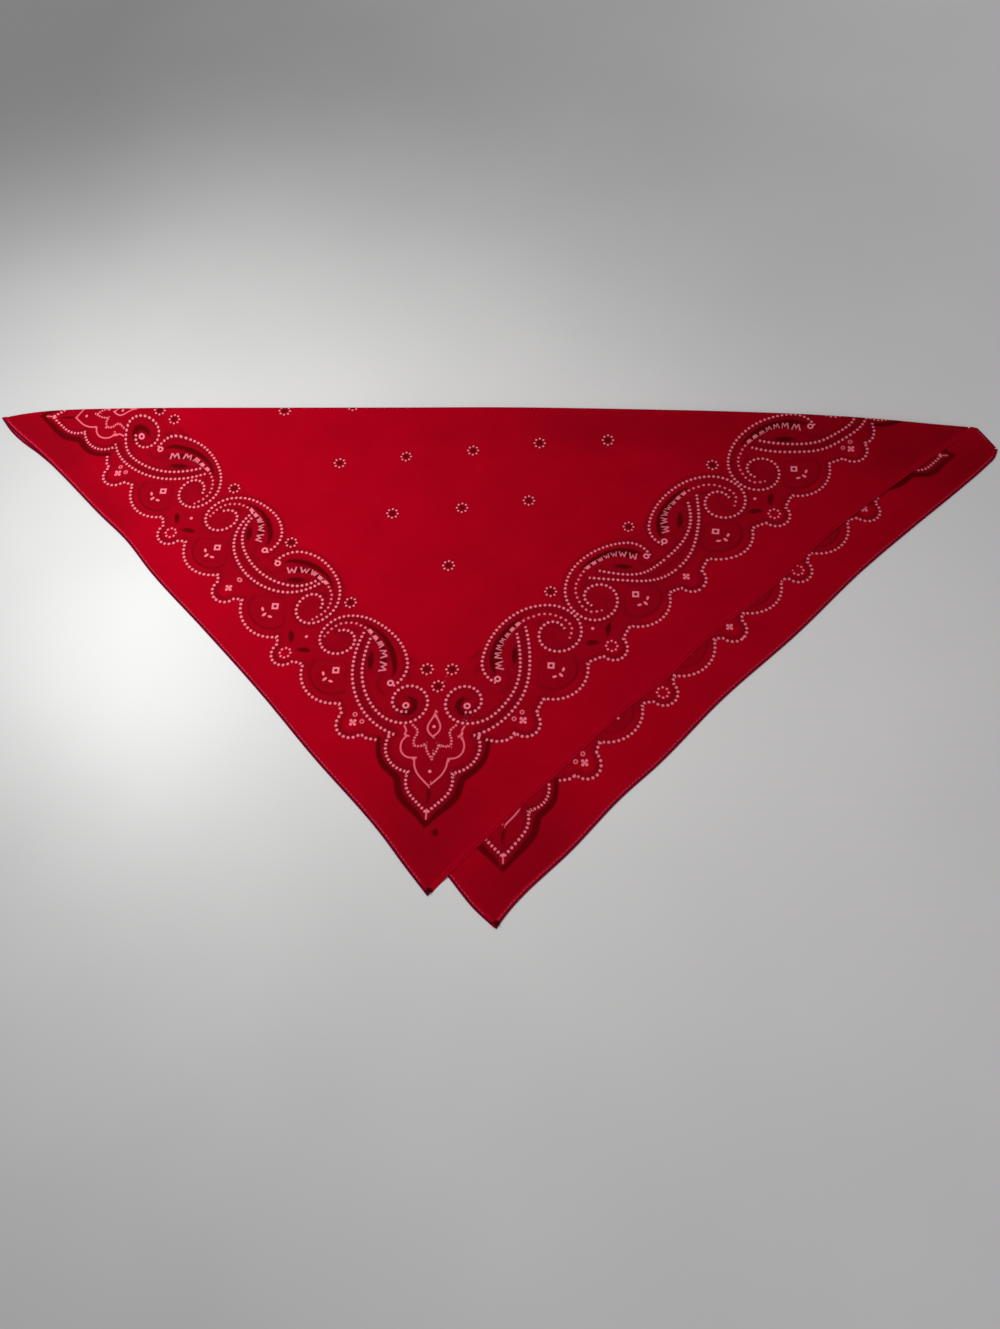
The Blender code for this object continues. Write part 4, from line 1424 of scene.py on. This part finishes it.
def hem_rings(name, seed):
    """A hem's rings: its section at every station along the edge, a little wavy."""
    length = EDGES[HEMS[name][0]].length
    share = np.linspace(0.0, 1.0, max(12, math.ceil(length / HEM_STEP)))
    wave = pucker(share * length, seed)
    rails = []
    thick = HEM_THINNING[name]
    for inset, height in PRESSED_SECTION if name == "front_hem_lower" else HEM_SECTION:
        plan = hem_line(name, inset, share)
        floor = hem_floor(name, plan[:, 0], plan[:, 1])
        lift = thick * (1.0 + 0.12 * wave) if height > 0.3 else thick
        rails.append(np.column_stack([plan, floor + height * lift]))
    return np.stack(rails, axis=1)


def hem_cotton():
    """The hem's finish: doubled cloth, darker than the ground, with painted shade along its outer turn."""
    material, shader, start = start_material("turned_cotton_hem", 0.88)
    place_at = object_place(start)
    grain = noise(start, place_at, 900.0, 3.0, 0.6)
    patch = noise(start, place_at, 60.0, 2.0)
    colour = blend(start, patch, (0.30, 0.0008, 0.0095, 1.0), (0.38, 0.0008, 0.0105, 1.0))
    # painted shade along the hem's outer turn, for its shaded side and the contact shadow at its edge
    hem_edge_shade = attribute(start, "hem_edge_shade", 2)
    colour = blend(start, hem_edge_shade * (0.7 + grain * 0.3), colour, (0.055, 0.002, 0.014, 1.0))
    feed(shader, "Base Color", colour)
    feed(shader, "Normal", raised(start, grain, 0.5, 0.0001))
    matt_surface(shader)
    return material


# how much painted shade darkens each hem's outer turn, and the inset at which that starts to fade
EDGE_SHADE_START = 0.6
HEM_EDGE_SHADES = {"front_hem_left": 1.0, "front_hem_lower": 0.0, "back_hem_left": 0.9, "back_hem_lower": 0.7,
            "back_hem_end": 0.8}
hem_finish = hem_cotton()
hem_pieces = {}
for seed, name in enumerate(HEMS):
    rings = hem_rings(name, 1.3 + seed)
    mesh = ring_mesh(name + "_roll", rings)
    insets = np.array(HEM_SECTION)[:, 0]
    set_attribute(mesh, "hem_edge_shade", np.tile((1.0 - soft_step(insets - EDGE_SHADE_START)) * HEM_EDGE_SHADES[name], len(rings)))
    hem_pieces[name] = add_piece(mesh, hem_finish, "cotton_hem", name)

# %% [markdown]
# ## Stitches
# A lockstitch shows as short dashes of thread. Each stitch is a small spindle that dips into the cloth at
# both ends. All stitches of a hem are made at once, as one array.

# %% Stitch rows
STITCH_MARGIN = 6.0
STITCH_RINGS = 5
STITCH_SIDES = 5


def stitch_mesh(name, hem, seed):
    """Spindles along the hem. The middle line is an arc that dips at both ends, and the radius is
    r times the square root of sin(pi t)."""
    length = EDGES[HEMS[hem][0]].length
    count = int((length - 2.0 * STITCH_MARGIN) / STITCH_PITCH)
    random = np.random.default_rng(seed)
    middle = (STITCH_MARGIN + STITCH_PITCH * np.arange(count) + random.uniform(-0.15, 0.15, count)) / length
    half = STITCH_LENGTH / 2.0 / length * random.uniform(0.88, 1.08, count)
    t = np.linspace(0.0, 1.0, STITCH_RINGS)
    shares = middle[:, None] + half[:, None] * (2.0 * t - 1.0)[None, :]
    sway = random.uniform(-0.12, 0.12, count)[:, None] * np.ones_like(t)[None, :]
    plan = hem_line(hem, STITCH_INSET, shares)
    side = across_left(unit(np.gradient(plan, axis=1)))
    plan = plan + side * sway[..., None]
    floor = hem_floor(hem, plan[..., 0], plan[..., 1])
    z = floor + HEM_THINNING[hem] + 0.03 + 0.1 * np.sin(math.pi * t)[None, :]
    radius = THREAD_RADIUS * np.sqrt(0.1 + 0.9 * np.sin(math.pi * t))
    angle = np.linspace(0.0, math.tau, STITCH_SIDES, endpoint=False)
    offset = radius[:, None] * np.cos(angle)[None, :]
    up = radius[:, None] * np.sin(angle)[None, :]
    xy = plan[:, :, None, :] + side[:, :, None, :] * offset[None, :, :, None]
    zz = z[:, :, None] + up[None, :, :]
    points = np.concatenate([xy, zz[..., None]], axis=-1)
    ring = np.arange(STITCH_RINGS - 1)[:, None] * STITCH_SIDES
    j = np.arange(STITCH_SIDES)[None, :]
    n = (j + 1) % STITCH_SIDES
    quads = np.stack([ring + j, ring + n, ring + n + STITCH_SIDES, ring + j + STITCH_SIDES], axis=-1)
    quads = quads.reshape(-1, 4)
    per = STITCH_RINGS * STITCH_SIDES
    quads = (quads[None] + np.arange(count)[:, None, None] * per).reshape(-1, 4)
    ends = np.stack([np.arange(STITCH_SIDES)[::-1], np.arange(STITCH_SIDES) + per - STITCH_SIDES])
    ends = (ends[None] + np.arange(count)[:, None, None] * per).reshape(-1, STITCH_SIDES)
    mesh = bpy.data.meshes.new(name)
    mesh.from_pydata((points * MM).reshape(-1, 3).tolist(), [], quads.tolist() + ends.tolist())
    mesh.shade_smooth()
    return mesh


def thread(name, first, second):
    """Cotton thread: two close shades in fine slanting bands."""
    material, shader, start = start_material(name, 0.7)
    bands = start.node("ShaderNodeTexWave", {"wave_type": "BANDS", "bands_direction": "DIAGONAL"},
                       {"Vector": object_place(start), "Scale": 700.0, "Distortion": 1.5}, 1)
    feed(shader, "Base Color", blend(start, bands, first, second))
    matt_surface(shader)
    return material


pale_thread = thread("pale_thread", (0.40, 0.045, 0.08, 1.0), (0.60, 0.11, 0.16, 1.0))
red_thread = thread("red_thread", (0.34, 0.0009, 0.010, 1.0), (0.42, 0.001, 0.012, 1.0))
dark_thread = thread("dark_thread", (0.02, 0.002, 0.004, 1.0), (0.07, 0.004, 0.01, 1.0))
stitch_pieces = {}
for seed, hem in enumerate(HEMS):
    finish = red_thread if hem == "front_hem_lower" else pale_thread
    mesh = stitch_mesh(hem + "_stitches", hem, 11 + seed)
    stitch_pieces[hem] = add_piece(mesh, finish, "cotton_hem")

# %% [markdown]
# ## Thread ends
# At the two loose corners the seam was started and finished, and the thread is bunched in a small knot. A
# tube follows a closed knotted curve that lies flat on the cloth.

# %% Knots of thread at B and D
KNOT_THREAD = 0.24
KNOT_SIDES = 7


def knot_mesh(name, middle, height, size, turns, seed):
    """A flat tangle: a circle whose radius swings as cos(k t) and whose height swings as sin(k t)."""
    t = np.linspace(0.0, math.tau, 120, endpoint=False)
    radius = size * (0.62 + 0.30 * np.cos(turns * t + seed))
    path = np.stack([middle[0] + radius * np.cos(2.0 * t), middle[1] + 0.8 * radius * np.sin(2.0 * t),
                     height + 0.45 * np.sin(turns * t + seed)], axis=1)
    ahead = unit(np.roll(path, -1, axis=0) - np.roll(path, 1, axis=0))
    side = unit(np.cross(ahead, UPWARDS))
    up = np.cross(side, ahead)
    angle = np.linspace(0.0, math.tau, KNOT_SIDES, endpoint=False)
    turn = np.cos(angle)[None, :, None] * side[:, None] + np.sin(angle)[None, :, None] * up[:, None]
    rings = path[:, None] + KNOT_THREAD * turn
    return ring_mesh(name, np.concatenate([rings, rings[:1]]), caps=False)


knot_b = add_piece(knot_mesh("knot_b", (-14.2, -185.2), 1.2, 2.0, 5, 0.4), dark_thread, "cotton_hem")
knot_d = add_piece(knot_mesh("knot_d", (29.2, -204.6), 1.2, 2.1, 5, 1.9), dark_thread, "cotton_hem")

# %% [markdown]
# ## What each sheet was cut from
# Both shells show one cloth, so each is declared with the size of the cut and with the hem, stitches and
# thread ends that move with it. Folded cloth shows only half of its cut, and that area is given too.


def sewn_to(leaf):
    """The hems of a leaf and their stitches."""
    return [piece for pieces in (hem_pieces, stitch_pieces) for hem, piece in pieces.items()
            if hem.startswith(leaf)]


print("declared:", front_cloth.name, "with", len(sewn_to("front")) + 1, "pieces and", back_cloth.name,
      "with", len(sewn_to("back")) + 1)

# %% [markdown]
# ## The table
# The cloth lies on a pale table with a weak gloss. Its colour is painted darker on the left and paler to
# the right, as painted shade and painted light against the window light's fall-off, and a slow noise keeps
# that change from looking ruled.

# %% The table
TABLE_HALF = 4.0
TABLE_GAP = 0.00004
floor_mesh = bpy.data.meshes.new("table")
corners = [(x * TABLE_HALF, y * TABLE_HALF, -TABLE_GAP) for x, y in ((-1, -1), (1, -1), (1, 1), (-1, 1))]
floor_mesh.from_pydata(corners, [], [(0, 1, 2, 3)])
floor = link_object("table", floor_mesh)
table_finish, table_shader, start = start_material("pale_table", 0.3)
place_at = object_place(start)
tone = noise(start, place_at, 5.0, 3.0)
across, _, _ = place_at.parts()
# painted shade and light: the table is darker on the left and paler to the right, against the window
# light's fall-off
share = (across * 1.2 + 0.5 + (tone - 0.5) * 0.3).most(0.0).least(1.0)
table_colour_with_painted_light_and_shade = blend(start, share, (0.465, 0.465, 0.46, 1.0), (0.82, 0.805, 0.79, 1.0))
feed(table_shader, "Base Color", table_colour_with_painted_light_and_shade)
table_shader.inputs["Specular IOR Level"].default_value = 0.14
floor_mesh.materials.append(table_finish)

# %% [markdown]
# ## Light
# One small soft light above the upper left gives a bright patch there, and it fades to the right. Its
# cone is narrow, so that the rest is lit by the even light of the room. The Standard view keeps the dark
# reds red.

# %% Lights
WINDOW_SIZE = 0.35
WINDOW_POWER = 1.3
WINDOW_SPREAD = math.radians(55)
ROOM_LIGHT = 0.46


def facing(at, forward, up):
    """The matrix that puts something at a place and turns its -Z along forward and its +Y nearest to up."""
    forward = unit(forward)
    side = unit(np.cross(forward, up))
    turned = np.eye(4)
    turned[:3] = np.stack([side, np.cross(side, forward), -forward, at], axis=1)
    return Matrix(turned.tolist())


def area_light(name, at, target, size, power):
    """A square soft light at a place, facing a target."""
    data = bpy.data.lights.new(name, "AREA")
    data.shape, data.size, data.energy = "SQUARE", size, power
    lamp = link_object(name, data)
    lamp.matrix_world = facing(np.array(at), np.subtract(target, at), UPWARDS)
    return lamp


window = area_light("window", (-0.62, 0.42, 0.9), (-0.24, 0.06, 0.0), WINDOW_SIZE, WINDOW_POWER)
window.data.spread = WINDOW_SPREAD
world = bpy.data.worlds.new("room")
world.use_nodes = True
background = world.node_tree.nodes["Background"]
background.inputs["Color"].default_value = (0.98, 0.98, 1.0, 1.0)
background.inputs["Strength"].default_value = ROOM_LIGHT
bpy.context.scene.world = world
bpy.context.scene.view_settings.view_transform = "Standard"
print("window light:", WINDOW_POWER, "W, room light:", ROOM_LIGHT)

# %% [markdown]
# ## Camera
# The camera stands in front of the loose corners and looks down at about 61 degrees. A matrix holds its
# place and the way it faces, the same helper as for the light.

# %% Camera
CAMERA_AT = np.array([67.8, -385.8, 671.3]) * MM
CAMERA_FORWARD = np.array([-0.05903, 0.47518, -0.87791])
CAMERA_UP = np.array([-0.02286, 0.87857, 0.47707])
LENS = 29.69
SENSOR = 36.0
NEAREST = 0.01

camera_data = bpy.data.cameras.new("camera")
camera_data.lens, camera_data.sensor_width, camera_data.clip_start = LENS, SENSOR, NEAREST
camera = link_object("camera", camera_data)
camera.matrix_world = facing(CAMERA_AT, CAMERA_FORWARD, CAMERA_UP)
bpy.context.scene.camera = camera
print("camera looks down at", round(math.degrees(math.asin(-unit(CAMERA_FORWARD)[2])), 1), "degrees")
